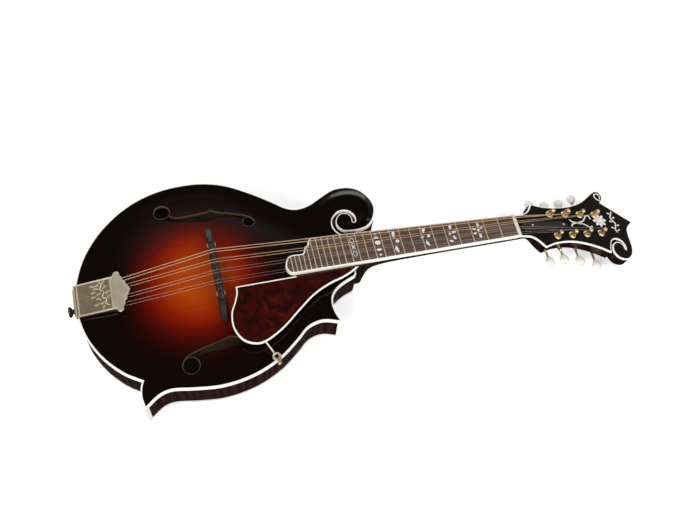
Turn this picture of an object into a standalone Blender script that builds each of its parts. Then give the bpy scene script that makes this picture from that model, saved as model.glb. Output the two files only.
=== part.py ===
"""A carved mandolin with a scroll and two body points, as separate pieces on real joints.

Frame: +X runs from the tail to the headstock, +Y to the bass side and +Z out of the top.
The origin is on the flat crown of the back, below the bridge.
Outline points are in millimetres, measured from the nut and the centre line; MM makes metres.
"""

import math

import bmesh
import bpy
import numpy as np
from mathutils import Matrix

MM = 0.001
GAP = 0.15  # glue line or running clearance between neighbours

# Driving dimensions
BRIDGE_TO_NUT = 357.0
BODY_DEPTH = 43.86  # between the outer edges of the two plates
TOP_ARCH = 11.5
BACK_ARCH = 10.5
BACK_FLAT = 0.955  # the back's crown is flat where the dome is above this share
RIM_Z = BODY_DEPTH + BACK_ARCH  # the top's edge above the frame's origin
PLATE = 4.2
BINDING_WIDTH = 1.8
BINDING_HEIGHT = 6.1
LINING = 4.2

BOARD_PITCH = 4.843
BOARD_DROP = -3.36  # the board's playing face at the nut, from the top's edge
BOARD_THICK = 5.2
BOARD_HALF = 13.157
BOARD_FLARE = 0.02309
BOARD_BINDING = 1.5
SCALE = 353.7
FRETS = 26

HEAD_PITCH = 17.0
HEAD_START = (4.0, -6.3)
VENEER = 2.0
CORE = 12.5
HEAD_BINDING = 1.6

POST_FIRST = 53.5
POST_STEP = 22.9
POST_SIDE = 15.3
POST_TAPER = 0.7
POST_RADIUS = 2.6
POST_TOP = 11.0
WORM_OFFSET = 9.0
GEAR_RADIUS = 5.75
GEAR_TEETH = 14
WORM_RADIUS = 3.05
KEY_LEVEL = -19.6
BUTTON_REACH = (40.5, 38.0, 41.0, 48.0)

BRIDGE_WIDTH = 8.6
SADDLE_BOTTOM = 24.0
SADDLE_TOP = 30.3
NUT_TOP = 0.9
STRING_RADII = (0.51, 0.51, 0.33, 0.33, 0.19, 0.19, 0.14, 0.14)
STRING_AT_TAIL = (16.2, 12.6, 7.8, 4.3)
STRING_AT_BRIDGE = (20.5, 17.1, 8.2, 4.8)
STRING_AT_NUT = (12.0, 9.6, 4.8, 2.4)
HOOK = (-474.0, 4.3)
COIL_STEPS = 12  # eighths of a turn round a post
END_PIN_Z = -20.0

# Body outline, along the plates' edge
TAIL_TO_NOTCH = [
    (-510.5, 0), (-508.9, -22), (-502.7, -45), (-489.7, -68.9), (-471.5, -89.3), (-452.1, -102.8),
]
LOWER_POINT = [(-452.1, -102.8), (-455, -110), (-456.3, -120), (-454.5, -131.3)]
TREBLE_SIDE = [
    (-454.5, -131.3), (-439.5, -120.9), (-424.5, -117.7), (-400, -121.5), (-374.5, -124.2), (-349, -121.8),
    (-326, -115.2), (-304, -104.2), (-284.7, -89.6), (-269.7, -77.1), (-252, -73.1), (-233.7, -78.2),
]
UPPER_POINT = [
    (-233.7, -78.2), (-237.2, -68), (-238.3, -58), (-236.3, -47.9), (-229.8, -39.4), (-219.9, -33),
    (-205.9, -27.3),
]
NECK_END = [(-204, -25), (-204, 23), (-207.5, 25.3)]
SCROLL_AND_BASS = [
    (-192.5, 30.2), (-183, 30.5), (-175.1, 32.8), (-168.5, 38.3), (-163.6, 47), (-161.5, 56),
    (-163.6, 66.5), (-170.3, 77.5), (-180.3, 84.8), (-192, 87.4), (-205.3, 86.2), (-220.3, 79.1),
    (-235.3, 71.6), (-250.3, 68.8), (-264, 73.1), (-279, 84.8), (-300.4, 100.3), (-326, 115.6),
    (-351, 123.6), (-377.5, 125.7), (-404, 123.1), (-430.5, 114.8), (-456, 99.8), (-479, 78.6), (-497.3, 52),
    (-508.1, 23), (-510.5, 0),
]
POINTS = (("upper", (-233.7, -78.2), (-0.62, 0.78)), ("lower", (-454.5, -131.3), (0.32, 0.95)))
SLOT_CENTRE = (-199.3, 44.7)
SLOT_INNER = 8.5
SLOT_OUTER = 13.9

# Headstock outline, along the veneer's edge: distance from the nut's back, and side
HEAD_TREBLE_CURL = [(1.8, -13.1), (9, -13.2), (16.3, -14.3), (21.5, -17.3), (25.7, -21.3), (32, -28.8)]
HEAD_TREBLE_WAIST = [(32, -28.8), (47.7, -24.2), (68.6, -22.4), (89.5, -25.1), (110.4, -31.7), (126.1, -38.9)]
HEAD_SCROLL = [
    (126.1, -38.9), (127.9, -33), (133.4, -23.9), (141.8, -20.6), (150.2, -24.4), (153.3, -32.4),
    (151.7, -38.6), (149.3, -37.2), (148.1, -30.9), (141.8, -27.4), (134.5, -31.4), (132.2, -39.4),
    (136.6, -47.4), (147, -50.3), (155.9, -45.8), (161.1, -37.3), (162.8, -27.3), (164, -15.3),
    (167.4, -6.2), (177.3, 1.6),
]
HEAD_HOOK = [(139, 31), (143.4, 35), (146.2, 40), (144.4, 45.4), (139, 47.8), (131.3, 44.3)]
HEAD_BASS_WAIST = [(131.3, 44.3), (110.4, 32), (89.5, 25.7), (68.6, 23.9), (47.7, 25.1), (31.5, 29)]
HEAD_BASS_CURL = [(31.5, 29), (25.7, 21.7), (20.5, 17.7), (14.2, 15.2), (9, 13.6), (1.8, 13.2)]

# Fretboard end, along the outside of its binding, from the bass corner to the treble edge
BOARD_END = [
    (-247.5, 20.4), (-250.6, 15.5), (-251.4, 11.6), (-255.3, 9.6), (-257.1, 5.2), (-260, 1.8),
    (-271, 1.8), (-277.6, -1.2), (-281.2, -10.5), (-279.2, -18), (-274.5, -21),
]

# F-hole on the bass side
HOLE_EYES = (((-404.9, 93.9), 9.4), ((-309.3, 62.6), 6.9))
HOLE_STEM = [
    (-411, 86.5), (-405.4, 81.9), (-390.3, 77.4), (-370.2, 73.2), (-359.1, 70.2), (-350, 72),
    (-330, 72.3), (-318, 69.5), (-309, 66), (-304.6, 69), (-310, 72.3), (-330, 79.1), (-345, 83.5),
    (-350.1, 86.8), (-356, 84.4), (-370.2, 83.7), (-385.3, 83.4), (-396.6, 87.5),
]
TREBLE_HOLE_SHIFT = (3.5, 3.0)

GUARD_PITCH = math.degrees(math.atan(0.07))
GUARD_FRAME = (-204.0, 9.9)
GUARD_THICK = 2.4
GUARD_STRAIGHT = [(-340.1, -23.8), (-201.9, -20.4)]
GUARD_CURVE = [
    (-199.3, -22), (-217, -31.2), (-236.9, -37.8), (-256.8, -47.9), (-276.7, -63.3), (-296.4, -79.5),
    (-316.2, -91.2), (-330, -93.8), (-343.7, -87.1), (-351.2, -72), (-350.6, -55), (-344.9, -42.2),
    (-341, -32.2),
]
CLAMP_CENTRE = (-310.8, -105.6)
CLAMP_OUT = (0.46, -0.888)
CLAMP_SCREW_Z = -9.0
CLAMP_TOP = 2.2


# ---------------------------------------------------------------- outlines
def smooth(points, steps=2):
    """Catmull-Rom samples through the points, both ends included."""
    pts = [np.array(p, float) for p in points]
    pts = [2 * pts[0] - pts[1], *pts, 2 * pts[-1] - pts[-2]]
    out = []
    for a, b, c, d in zip(pts, pts[1:], pts[2:], pts[3:]):
        for t in np.arange(steps) / steps:
            bend = (2 * a - 5 * b + 4 * c - d) * t**2 + (3 * b - a - 3 * c + d) * t**3
            out.append(0.5 * (2 * b + (c - a) * t + bend))
    return [*out, pts[-2]]


def chain(*runs):
    """The runs one after another, without repeating a shared end."""
    out = []
    for point in (np.array(p, float) for run in runs for p in run):
        if not out or np.linalg.norm(point - out[-1]) > 1e-3:
            out.append(point)
    if np.linalg.norm(out[0] - out[-1]) < 1e-3:
        out.pop()
    return out


def offset(path, distance, closed=True):
    """The path moved to its right-hand side, outward for a counterclockwise loop."""
    pts = np.array(path, float)
    along = np.roll(pts, -1, axis=0) - pts
    normal = np.stack([along[:, 1], -along[:, 0]], axis=1)
    normal /= np.linalg.norm(normal, axis=1)[:, None]
    before = np.roll(normal, 1, axis=0)
    if not closed:
        before[0] = normal[0]
        normal[-1] = before[-1]
    mitre = (before + normal) / (1 + (before * normal).sum(axis=1))[:, None]
    return list(pts + distance * mitre)


def polar(centre, radius, degrees):
    angle = math.radians(degrees)
    return np.array([centre[0] + radius * math.cos(angle), centre[1] + radius * math.sin(angle)])


def circle(centre, radius, count=12):
    return [polar(centre, radius, 360 * k / count) for k in range(count)]


def slot_outer_wall(step=28):
    """The slot's wall on the body's side, from the neck to the slot's end."""
    return [
        polar(SLOT_CENTRE, SLOT_OUTER + 6.5 * (max(0, angle - 140) / 96) ** 1.2, angle)
        for angle in np.arange(236, -15, -step)
    ]


def slot_walls(step=28):
    """The scroll's slot: in along the body's wall, round the end, and out along the button's wall."""
    outer = slot_outer_wall(step)
    end = polar(SLOT_CENTRE, (SLOT_INNER + SLOT_OUTER) / 2, -16)
    round_end = [polar(end, (SLOT_OUTER - SLOT_INNER) / 2, -16 - turn) for turn in (0, 60, 120, 180)]
    inner = [
        polar(SLOT_CENTRE, SLOT_INNER + 5.3 * (max(0, angle - 150) / 115) ** 1.3, angle)
        for angle in np.arange(8, 266, step)
    ]
    return [*outer, *round_end, *inner]


def plate_outline(steps=2):
    """The plates' edge, counterclockwise from the tail."""
    walls = slot_walls()
    return chain(
        smooth(TAIL_TO_NOTCH, steps),
        smooth(LOWER_POINT, steps),
        smooth(TREBLE_SIDE, steps),
        smooth(UPPER_POINT, steps),
        NECK_END,
        walls[:-1],
        smooth([walls[-1], *SCROLL_AND_BASS], steps),
    )


def inner_outline(inset, steps=2):
    """The inside of the rim: the plates' edge without its points and the scroll's button, moved inward."""
    path = chain(
        smooth(TAIL_TO_NOTCH, steps),
        smooth(TREBLE_SIDE[1:-1], steps),
        smooth(UPPER_POINT[1:], steps),
        NECK_END,
        slot_outer_wall(),
        smooth([(-185.5, 31.5), *SCROLL_AND_BASS[2:]], steps),
    )
    return offset(path, -inset)


def head_outline(steps=2):
    return chain(
        smooth(HEAD_TREBLE_CURL, steps),
        smooth(HEAD_TREBLE_WAIST, steps),
        smooth(HEAD_SCROLL, steps),
        smooth(HEAD_HOOK, steps),
        smooth(HEAD_BASS_WAIST, steps),
        smooth(HEAD_BASS_CURL, steps),
    )


def board_path(steps=2):
    """Outside of the board's binding, in the board's frame: bass side, end, treble side."""
    stretch = 1 / math.cos(math.radians(BOARD_PITCH))
    half = BOARD_HALF + BOARD_BINDING
    end = [(x * stretch, y) for x, y in smooth(BOARD_END, steps)]
    return [np.array(p) for p in [(0, half), *end, (0, -half)]]


def dome(x, y):
    """Height of the carved top above its edge, and of the back below its own, as a share of the arch."""
    ahead = max(0.0, min(1.0, (x + 357) / 107))
    across = 120 - 54 * ahead * ahead * (3 - 2 * ahead)
    along = 175 if x > -375 else 122
    reach = min(1.0, math.hypot((x + 375) / along, y / across))
    return (1 + math.cos(math.pi * reach**1.25)) / 2


def board_height(x):
    """The playing face's height above the top's edge at a distance from the nut."""
    return BOARD_DROP - x * math.tan(math.radians(BOARD_PITCH))


def board_half(x):
    return BOARD_HALF - BOARD_FLARE * x


# ---------------------------------------------------------------- scene helpers
def material(name, colour, roughness, metallic=0.0):
    made = bpy.data.materials.new(name)
    made.use_nodes = True
    shader = made.node_tree.nodes["Principled BSDF"]
    shader.inputs["Base Color"].default_value = (*colour, 1)
    shader.inputs["Roughness"].default_value = roughness
    shader.inputs["Metallic"].default_value = metallic
    made.diffuse_color = (*colour, 1)
    return made


def empty(name, parent, location, pitch=0.0):
    made = bpy.data.objects.new(name, None)
    bpy.context.scene.collection.objects.link(made)
    made.parent = parent
    made.location = [MM * v for v in location]
    made.rotation_euler = (0, math.radians(pitch), 0)
    return made


def add(name, mesh, parent, mat=None, location=(0, 0, 0), turn=0.0):
    """A part when it has a material, or a cutter when it has none."""
    made = bpy.data.objects.new(name, mesh)
    (PARTS if mat else CUTTERS).objects.link(made)
    made.parent = parent
    made.location = [MM * v for v in location]
    made.rotation_euler = (0, 0, math.radians(turn))
    if mat:
        mesh.materials.clear()
        mesh.materials.append(mat)
    else:
        made.hide_render = True
        made.display_type = "WIRE"
    return made


def tidy(mesh, scale=MM):
    """Welds a curve's caps, faces everything outward and goes from millimetres to metres."""
    work = bmesh.new()
    work.from_mesh(mesh)
    bmesh.ops.remove_doubles(work, verts=work.verts, dist=1e-4)
    bmesh.ops.recalc_face_normals(work, faces=work.faces)
    work.to_mesh(mesh)
    work.free()
    mesh.transform(Matrix.Scale(scale, 4))
    return mesh


def evaluated(obj):
    """The mesh that the object's modifiers make, in its own frame."""
    graph = bpy.context.evaluated_depsgraph_get()
    return bpy.data.meshes.new_from_object(obj.evaluated_get(graph))


def curve_mesh(curve):
    holder = bpy.data.objects.new("holder", curve)
    bpy.context.scene.collection.objects.link(holder)
    mesh = evaluated(holder)
    bpy.data.objects.remove(holder)
    bpy.data.curves.remove(curve)
    return mesh


PLANES = {
    "XY": Matrix.Identity(4),
    "YZ": Matrix(((0, 0, 1, 0), (1, 0, 0, 0), (0, 1, 0, 0), (0, 0, 0, 1))),
    "XZ": Matrix(((1, 0, 0, 0), (0, 0, -1, 0), (0, 1, 0, 0), (0, 0, 0, 1))),
}


def slab(loops, low, high, plane="XY"):
    """A flat outline, with any holes as further loops, extruded from low to high across its plane."""
    curve = bpy.data.curves.new("outline", "CURVE")
    curve.dimensions = "2D"
    curve.fill_mode = "BOTH"
    curve.extrude = (high - low) / 2
    for loop in loops:
        spline = curve.splines.new("POLY")
        spline.points.add(len(loop) - 1)
        for point, (x, y) in zip(spline.points, loop):
            point.co = (x, y, 0, 1)
        spline.use_cyclic_u = True
    mesh = curve_mesh(curve)
    mesh.transform(Matrix.Translation((0, 0, (high + low) / 2)))
    if plane == "XZ":
        mesh.transform(Matrix.Scale(-1, 4, (0, 0, 1)))
    mesh.transform(PLANES[plane])
    return tidy(mesh)


def box(low, high):
    work = bmesh.new()
    bmesh.ops.create_cube(work, size=1)
    mesh = bpy.data.meshes.new("box")
    work.to_mesh(mesh)
    work.free()
    size = [b - a for a, b in zip(low, high)]
    middle = [(a + b) / 2 for a, b in zip(low, high)]
    mesh.transform(Matrix.Translation(middle) @ Matrix.Diagonal((*size, 1)))
    return tidy(mesh)


AXES = {
    "X": Matrix.Rotation(math.pi / 2, 4, "Y"),
    "Y": Matrix.Rotation(-math.pi / 2, 4, "X"),
    "Z": Matrix.Identity(4),
}


def rod(radius, low, high, centre=(0, 0), axis="Z", sides=12):
    """A cylinder along an axis, from low to high; centre is its place in the other two axes."""
    work = bmesh.new()
    bmesh.ops.create_cone(work, cap_ends=True, segments=sides, radius1=radius, radius2=radius, depth=high - low)
    mesh = bpy.data.meshes.new("rod")
    work.to_mesh(mesh)
    work.free()
    middle = (low + high) / 2
    place = {"X": (middle, *centre), "Y": (centre[0], middle, centre[1]), "Z": (*centre, middle)}[axis]
    mesh.transform(Matrix.Translation(place) @ AXES[axis])
    return tidy(mesh)


def turned(profile, sides=16, axis="Z"):
    """A solid of revolution from (radius, height) pairs that run from its top to its bottom."""
    mesh = bpy.data.meshes.new("profile")
    mesh.from_pydata([(r, 0, z) for r, z in profile], [(k, k + 1) for k in range(len(profile) - 1)], [])
    holder = bpy.data.objects.new("holder", mesh)
    bpy.context.scene.collection.objects.link(holder)
    screw = holder.modifiers.new("turn", "SCREW")
    screw.steps = screw.render_steps = sides
    screw.use_merge_vertices = True
    screw.merge_threshold = 0.0001
    solid = evaluated(holder)
    bpy.data.objects.remove(holder)
    solid.transform(AXES[axis])
    return tidy(solid)


def joined(meshes):
    """Several meshes in one, still loose from each other."""
    work = bmesh.new()
    for mesh in meshes:
        work.from_mesh(mesh)
    out = bpy.data.meshes.new("joined")
    work.to_mesh(out)
    work.free()
    return out


def boolean(obj, tools, operation):
    for k, tool in enumerate(tools if isinstance(tools, list) else [tools]):
        cutter = add(f"{obj.name}_{operation.lower()}_{k}", tool, obj.parent)
        cutter.location = obj.location
        cutter.rotation_euler = obj.rotation_euler
        modifier = obj.modifiers.new(f"{operation.lower()} {k}", "BOOLEAN")
        modifier.operation = operation
        modifier.object = cutter
    return obj


def cut(obj, tools):
    return boolean(obj, tools, "DIFFERENCE")


def keep(obj, tools):
    return boolean(obj, tools, "INTERSECT")


def unite(obj, tools):
    return boolean(obj, tools, "UNION")


def finished(mesh, *steps):
    """The mesh after Booleans, for pieces that share it: steps are (operation, tool) pairs."""
    holder = bpy.data.objects.new("holder", mesh)
    bpy.context.scene.collection.objects.link(holder)
    tools = []
    for operation, tool in steps:
        tools.append(bpy.data.objects.new("tool", tool))
        bpy.context.scene.collection.objects.link(tools[-1])
        modifier = holder.modifiers.new(operation, "BOOLEAN")
        modifier.operation = operation
        modifier.object = tools[-1]
    result = evaluated(holder)
    for obj in [holder, *tools]:
        bpy.data.objects.remove(obj)
    return result


# ---------------------------------------------------------------- body
def arched_sheet(arch, level, facing, crown):
    """The carved plate's sheet: a grid raised by the dome, flat above a share of it."""
    work = bmesh.new()
    bmesh.ops.create_grid(work, x_segments=22, y_segments=17, size=0.5)
    for vert in work.verts:
        x = -345 + 368 * vert.co.x
        y = 282 * vert.co.y
        vert.co = (x, y, level + facing * arch * min(dome(x, y), crown) / crown)
    mesh = bpy.data.meshes.new("sheet")
    work.to_mesh(mesh)
    work.free()
    mesh.transform(Matrix.Scale(MM, 4))
    return mesh


def plate(name, arch, level, facing, outline, mat, crown=1.0):
    sheet = add(name, arched_sheet(arch, level, facing, crown), RIM, mat)
    wall = sheet.modifiers.new("thickness", "SOLIDIFY")
    wall.thickness = PLATE * MM
    wall.offset = -facing
    return keep(sheet, slab([outline], level - 20, level + 20))


def f_hole(side):
    """The hole's three parts, mirrored and shifted for the treble side."""
    shift = (0, 0) if side > 0 else TREBLE_HOLE_SHIFT

    def placed(loop):
        moved = [(x + shift[0], side * (y + shift[1])) for x, y in loop]
        return moved if side > 0 else moved[::-1]

    stem = slab([placed(HOLE_STEM)], -12, 20)
    eyes = [slab([placed(circle(centre, radius, 14))], -12, 20) for centre, radius in HOLE_EYES]
    return [stem, *eyes]


def build_plates(edge, mats):
    inner = offset(edge, -GAP)
    top = plate("top_plate", TOP_ARCH, 0, 1, inner, mats["spruce"])
    cut(top, f_hole(1) + f_hole(-1))
    plate("back_plate", BACK_ARCH, -BODY_DEPTH, -1, inner, mats["maple"], BACK_FLAT)


def point_zone(tip, inward, shift):
    """The quadrilateral that holds a body point's cap, beyond a line across the point."""
    inward = np.array(inward)
    start = np.array(tip) + (3.2 + shift) * inward
    across = 9 * np.array([-inward[1], inward[0]])
    away = -12 * inward
    return [start - across, start + across, start + across + away, start - across + away]


def build_rim(edge, mats):
    outer = offset(edge, BINDING_WIDTH)
    low, high = BINDING_HEIGHT - BODY_DEPTH + GAP, -BINDING_HEIGHT - GAP
    wall = slab([outer, inner_outline(LINING)], low, high)
    shelf = [offset(plate_outline(1), -1.2), inner_outline(3.2, 1)]
    ledge = slab(shelf, PLATE - BODY_DEPTH + 0.3, -PLATE - 0.3)
    for number, (name, tip, inward) in enumerate(POINTS):
        cap = add(f"point_cap_{name}", slab([outer], low, high), RIM, mats["ivoroid"])
        keep(cap, slab([point_zone(tip, inward, 0)], low - 5, high + 5))
        zone = slab([point_zone(tip, inward, GAP)], low - 6 - number, high + 6 + number)
        wall = finished(wall, ("DIFFERENCE", zone))
        ledge = finished(ledge, ("DIFFERENCE", zone))
    hole = rod(3.8, -525, -500, (0, END_PIN_Z), "X")
    screw_hole = sideways(rod(1.6, 1.1, 8, (0, 0), "X", 14))
    wall = finished(wall, ("DIFFERENCE", hole), ("DIFFERENCE", screw_hole))
    ledge = finished(ledge, ("DIFFERENCE", hole))
    unite(add("rim", wall, RIM, mats["maple"]), ledge)
    for name, top in (("top_binding", 0.0), ("back_binding", BINDING_HEIGHT - BODY_DEPTH)):
        add(name, slab([outer, offset(edge, GAP)], top - BINDING_HEIGHT, top), RIM, mats["ivoroid"])


def build_blocks(edge, mats):
    inside = inner_outline(LINING + 0.3)
    low, high = PLATE - BODY_DEPTH + 0.6, -PLATE - 0.6
    head = add("head_block", slab([inside], low, high), RIM, mats["maple"])
    keep(head, box((-236, -90, -60), (-150, 100, 20)))
    tail = add("tail_block", slab([inside], low, high), RIM, mats["maple"])
    keep(tail, box((-520, -32, -60), (-488, 32, 20)))
    cut(tail, rod(3.8, -520, -485, (0, END_PIN_Z), "X"))
    for name, side in (("tone_bar_bass", 1), ("tone_bar_treble", -1)):
        xs = np.linspace(-470, -262, 9)
        crown = [TOP_ARCH * dome(x, 30) - PLATE - 0.5 for x in xs]
        depth = [3 + 7 * math.sin(math.pi * (x + 470) / 208) for x in xs]
        top = list(zip(xs, crown))
        bottom = [(x, z - d) for x, z, d in zip(xs, crown, depth)]
        add(name, slab([top + bottom[::-1]], side * 26.5 - 3, side * 26.5 + 3, "XZ"), RIM, mats["spruce"])


# ---------------------------------------------------------------- neck
def neck_loft():
    """The neck's sections from the volute behind the nut to the heel, as rings of points."""
    stations = [(28, -20, -29.4, 8, 1.0), (16, -15.5, -27.2, 12, 1.0), (3, -9.4, -24.2, 14.2, 0.9)]
    for x, depth, squareness in (
        (-20, 20.8, 0.9), (-100, 22, 0.9), (-150, 23.8, 0.85), (-168, 28, 0.8), (-180, 36, 0.75),
        (-190, 47, 0.65), (-196, 54, 0.6), (-201.9, 62, 0.5),
    ):
        under = board_height(x) - BOARD_THICK - GAP
        stations.append((x, under, board_height(x) - depth, board_half(x) + BOARD_BINDING, squareness))
    work = bmesh.new()
    rings = []
    for x, top, bottom, half, squareness in stations:
        ring = []
        for turn in np.linspace(0, math.pi, 11):
            side, down = math.cos(turn), math.sin(turn)
            y = half * math.copysign(abs(side) ** squareness, side)
            ring.append(work.verts.new((x, y, top + (bottom - top) * down)))
        rings.append(ring)
    for ring, after in zip(rings, rings[1:]):
        for k in range(len(ring)):
            j = (k + 1) % len(ring)
            work.faces.new((ring[k], ring[j], after[j], after[k]))
    work.faces.new(rings[0])
    work.faces.new(rings[-1][::-1])
    mesh = bpy.data.meshes.new("neck")
    work.to_mesh(mesh)
    work.free()
    return tidy(mesh)


def in_rim(mesh, frame):
    """A mesh drawn in another frame, moved into the rim's."""
    bpy.context.view_layer.update()
    mesh.transform(RIM.matrix_world.inverted() @ frame.matrix_world)
    return mesh


def tuner_places():
    """For each post: its index, side, place on the headstock and the turn of its row."""
    turn = math.degrees(math.atan(POST_TAPER / POST_STEP))
    for side in (1, -1):
        for k in range(4):
            yield k, side, (POST_FIRST + k * POST_STEP, side * (POST_SIDE - k * POST_TAPER)), -side * turn


def post_bores():
    """Cutters for the eight holes that the posts turn in."""
    return joined([rod(POST_RADIUS + 0.6, -20, 5, place, sides=8) for _, _, place, _ in tuner_places()])


def nut_pocket():
    """Cutter for the recess behind the nut that holds the truss rod's hex nut."""
    return box((-3, -4.6, -11.4), (20, 4.6, 4))


def build_neck(mats):
    neck = add("neck", neck_loft(), RIM, mats["maple"])
    core = slab([offset(head_outline(), HEAD_BINDING)], -VENEER - CORE, -VENEER - GAP)
    core = finished(core, ("DIFFERENCE", box((-12, -30, -20), (2.4, 30, 9))))
    under = [(x, TOP_ARCH * dome(x, 0) + 0.35) for x in (-200, -206, -214, -224, -234, -244)]
    over = [(x, board_height(x) - BOARD_THICK - GAP) for x in (-244, -200)]
    unite(neck, [in_rim(core, HEAD), slab([under + over], -16, 16, "XZ")])
    cut(neck, box((-215, -30, -60), (-140, 30, -43.9)))
    cut(neck, in_rim(post_bores(), HEAD))
    board_bottom = -BOARD_THICK - GAP
    channel = box((-186, -2.8, board_bottom - 8.6), (3, 2.8, board_bottom + 3))
    cut(neck, [in_rim(channel, BOARD), in_rim(nut_pocket(), HEAD)])
    cap = [(-201.9, -11), (-190, -9.5), (-182, -5), (-180, 0), (-182, 5), (-190, 9.5), (-201.9, 11)]
    add("heel_cap", slab([smooth(cap, 2)], -45.6, -44.1), RIM, mats["ivoroid"])


def build_truss_rod(mats):
    level = -BOARD_THICK - 5.6
    add("truss_rod", rod(2.2, -184, 5.5, (0, 0), "X"), BOARD, mats["steel"], (0, 0, level))
    nut = finished(rod(3.3, 6.2, 14, (0, 0), "X", 6), ("DIFFERENCE", rod(1.9, 10.5, 16, (0, 0), "X", 6)))
    add("truss_rod_nut", nut, BOARD, mats["brass"], (0, 0, level))
    bell = [(7, -7.6), (24, -6.6), (42, -4.4), (58, -4.6), (66, -4.2), (74.5, 0)]
    loop = chain(smooth(bell, 2), [(x, -y) for x, y in smooth(bell, 2)[::-1]])
    add("truss_rod_cover", slab([loop], GAP, 1.7), HEAD, mats["ebony"])


def build_headstock(mats):
    edge = head_outline()
    face = add("headstock_veneer", slab([offset(edge, -GAP / 2)], -VENEER, 0), HEAD, mats["ebony"])
    cut(face, [post_bores(), nut_pocket()])
    walls = [offset(edge, HEAD_BINDING), offset(edge, GAP / 2)]
    ring = add("headstock_binding", slab(walls, -VENEER, 0), HEAD, mats["ivoroid"])
    cut(ring, box((-12, -30, -9), (2.2, 30, 9)))


def build_fretboard(mats):
    outside = board_path()
    wood = offset(outside, -BOARD_BINDING - GAP, closed=False)
    inside = offset(outside, -BOARD_BINDING, closed=False)
    board = add("fretboard", slab([wood], -BOARD_THICK, 0), BOARD, mats["rosewood"])
    crowns = []
    for n in range(1, FRETS + 1):
        x = -SCALE * (1 - 2 ** (-n / 12))
        sides = [fret_ends(x + half, wood) for half in (-0.6, 0.6)]
        low, high = max(side[0] for side in sides), min(side[1] for side in sides)
        crowns.append(box((x - 0.6, low + 0.3, -0.6), (x + 0.6, high - 0.3, 1.0)))
    unite(board, joined(crowns))
    add("fretboard_binding", slab([[*outside, *inside[::-1]]], -BOARD_THICK, 0), BOARD, mats["ivoroid"])
    profile = [(0.3, -4.8), (0.3, NUT_TOP), (1.1, NUT_TOP), (5.3, NUT_TOP - 1.7), (5.3, -3.6)]
    half = BOARD_HALF + BOARD_BINDING
    add("nut", slab([profile[::-1]], -half, half, "XZ"), BOARD, mats["bone"])


def fret_ends(x, loop):
    """Where a line across the board at x crosses the board's outline."""
    found = []
    for (x0, y0), (x1, y1) in zip(loop, [*loop[1:], loop[0]]):
        if (x0 - x) * (x1 - x) < 0:
            found.append(y0 + (y1 - y0) * (x - x0) / (x1 - x0))
    return min(found), max(found)


# ---------------------------------------------------------------- tuners
def gear_outline():
    loop = []
    for k in range(GEAR_TEETH):
        for share, radius in ((0.0, GEAR_RADIUS - 1.1), (0.3, GEAR_RADIUS), (0.6, GEAR_RADIUS)):
            loop.append(polar((0, 0), radius, 360 * (k + share) / GEAR_TEETH))
    return loop


def post_mesh():
    stem = turned(
        [(0, POST_TOP), (POST_RADIUS - 0.5, POST_TOP), (POST_RADIUS, POST_TOP - 0.7),
         (POST_RADIUS, KEY_LEVEL - 2.6), (0, KEY_LEVEL - 2.6)], 10
    )
    gear = slab([gear_outline()], KEY_LEVEL - 1.6, KEY_LEVEL + 1.4)
    return finished(stem, ("UNION", gear))


def key_mesh(reach):
    """Worm, shaft, collar and button along +Y, from the row's line outward."""
    shaft = rod(1.5, -7.6, reach, axis="Y", sides=8)
    worm = rod(WORM_RADIUS, -4.6, 4.2, axis="Y", sides=10)
    collar = rod(2.5, 7.3, 9.0, axis="Y", sides=8)
    work = bmesh.new()
    bmesh.ops.create_uvsphere(work, u_segments=10, v_segments=7, radius=1)
    button = bpy.data.meshes.new("button")
    work.to_mesh(button)
    work.free()
    button.transform(Matrix.Translation((0, reach, 0)) @ Matrix.Diagonal((6, 7, 3.5, 1)))
    return finished(shaft, *(("UNION", mesh) for mesh in (worm, collar, tidy(button))))


def plate_mesh():
    """One tuner plate: a strip under the four posts, with two ears for each worm shaft."""
    first, last = -WORM_OFFSET - 6, 3 * POST_STEP + 9
    top = -VENEER - CORE - GAP
    outline = [(first, -7), (last, -7), (last + 3, 0), (last, 8), (first, 8), (first - 3, 0)]
    strip = slab([outline], top - 1.2, top)
    ears = []
    for k in range(4):
        x = k * POST_STEP - WORM_OFFSET
        for low, high in ((-6.8, -5.2), (5.0, 6.6)):
            ears.append(box((x - 3, low, KEY_LEVEL - 2.8), (x + 3, high, top - 0.4)))
    holes = joined([rod(POST_RADIUS + 0.4, -30, 0, (k * POST_STEP, 0), sides=8) for k in range(4)])
    shafts = joined([rod(1.9, -9, 9, (k * POST_STEP - WORM_OFFSET, KEY_LEVEL), "Y", 8) for k in range(4)])
    return finished(strip, ("UNION", joined(ears)), ("DIFFERENCE", holes), ("DIFFERENCE", shafts))


def build_tuners(mats):
    post = post_mesh()
    plate_piece = plate_mesh()
    for k, side, place, turn in tuner_places():
        label = f"{'bass' if side > 0 else 'treble'}_{k + 1}"
        add(f"tuner_post_{label}", post, HEAD, mats["brass"], (*place, 0))
        angle = math.radians(turn)
        back = (place[0] - WORM_OFFSET * math.cos(angle), place[1] - WORM_OFFSET * math.sin(angle), KEY_LEVEL)
        reach = BUTTON_REACH[k] - abs(back[1])
        add(f"tuner_key_{label}", key_mesh(reach), HEAD, mats["pearl"], back, turn + (0 if side > 0 else 180))
        if k == 0 and side > 0:
            add("tuner_plate_bass", plate_piece, HEAD, mats["brass"], (*place, 0), turn)
        elif k == 0:
            mirrored = plate_piece.copy()
            mirrored.transform(Matrix.Scale(-1, 4, (0, 1, 0)))
            mirrored.flip_normals()
            add("tuner_plate_treble", mirrored, HEAD, mats["brass"], (*place, 0), turn)


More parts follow.
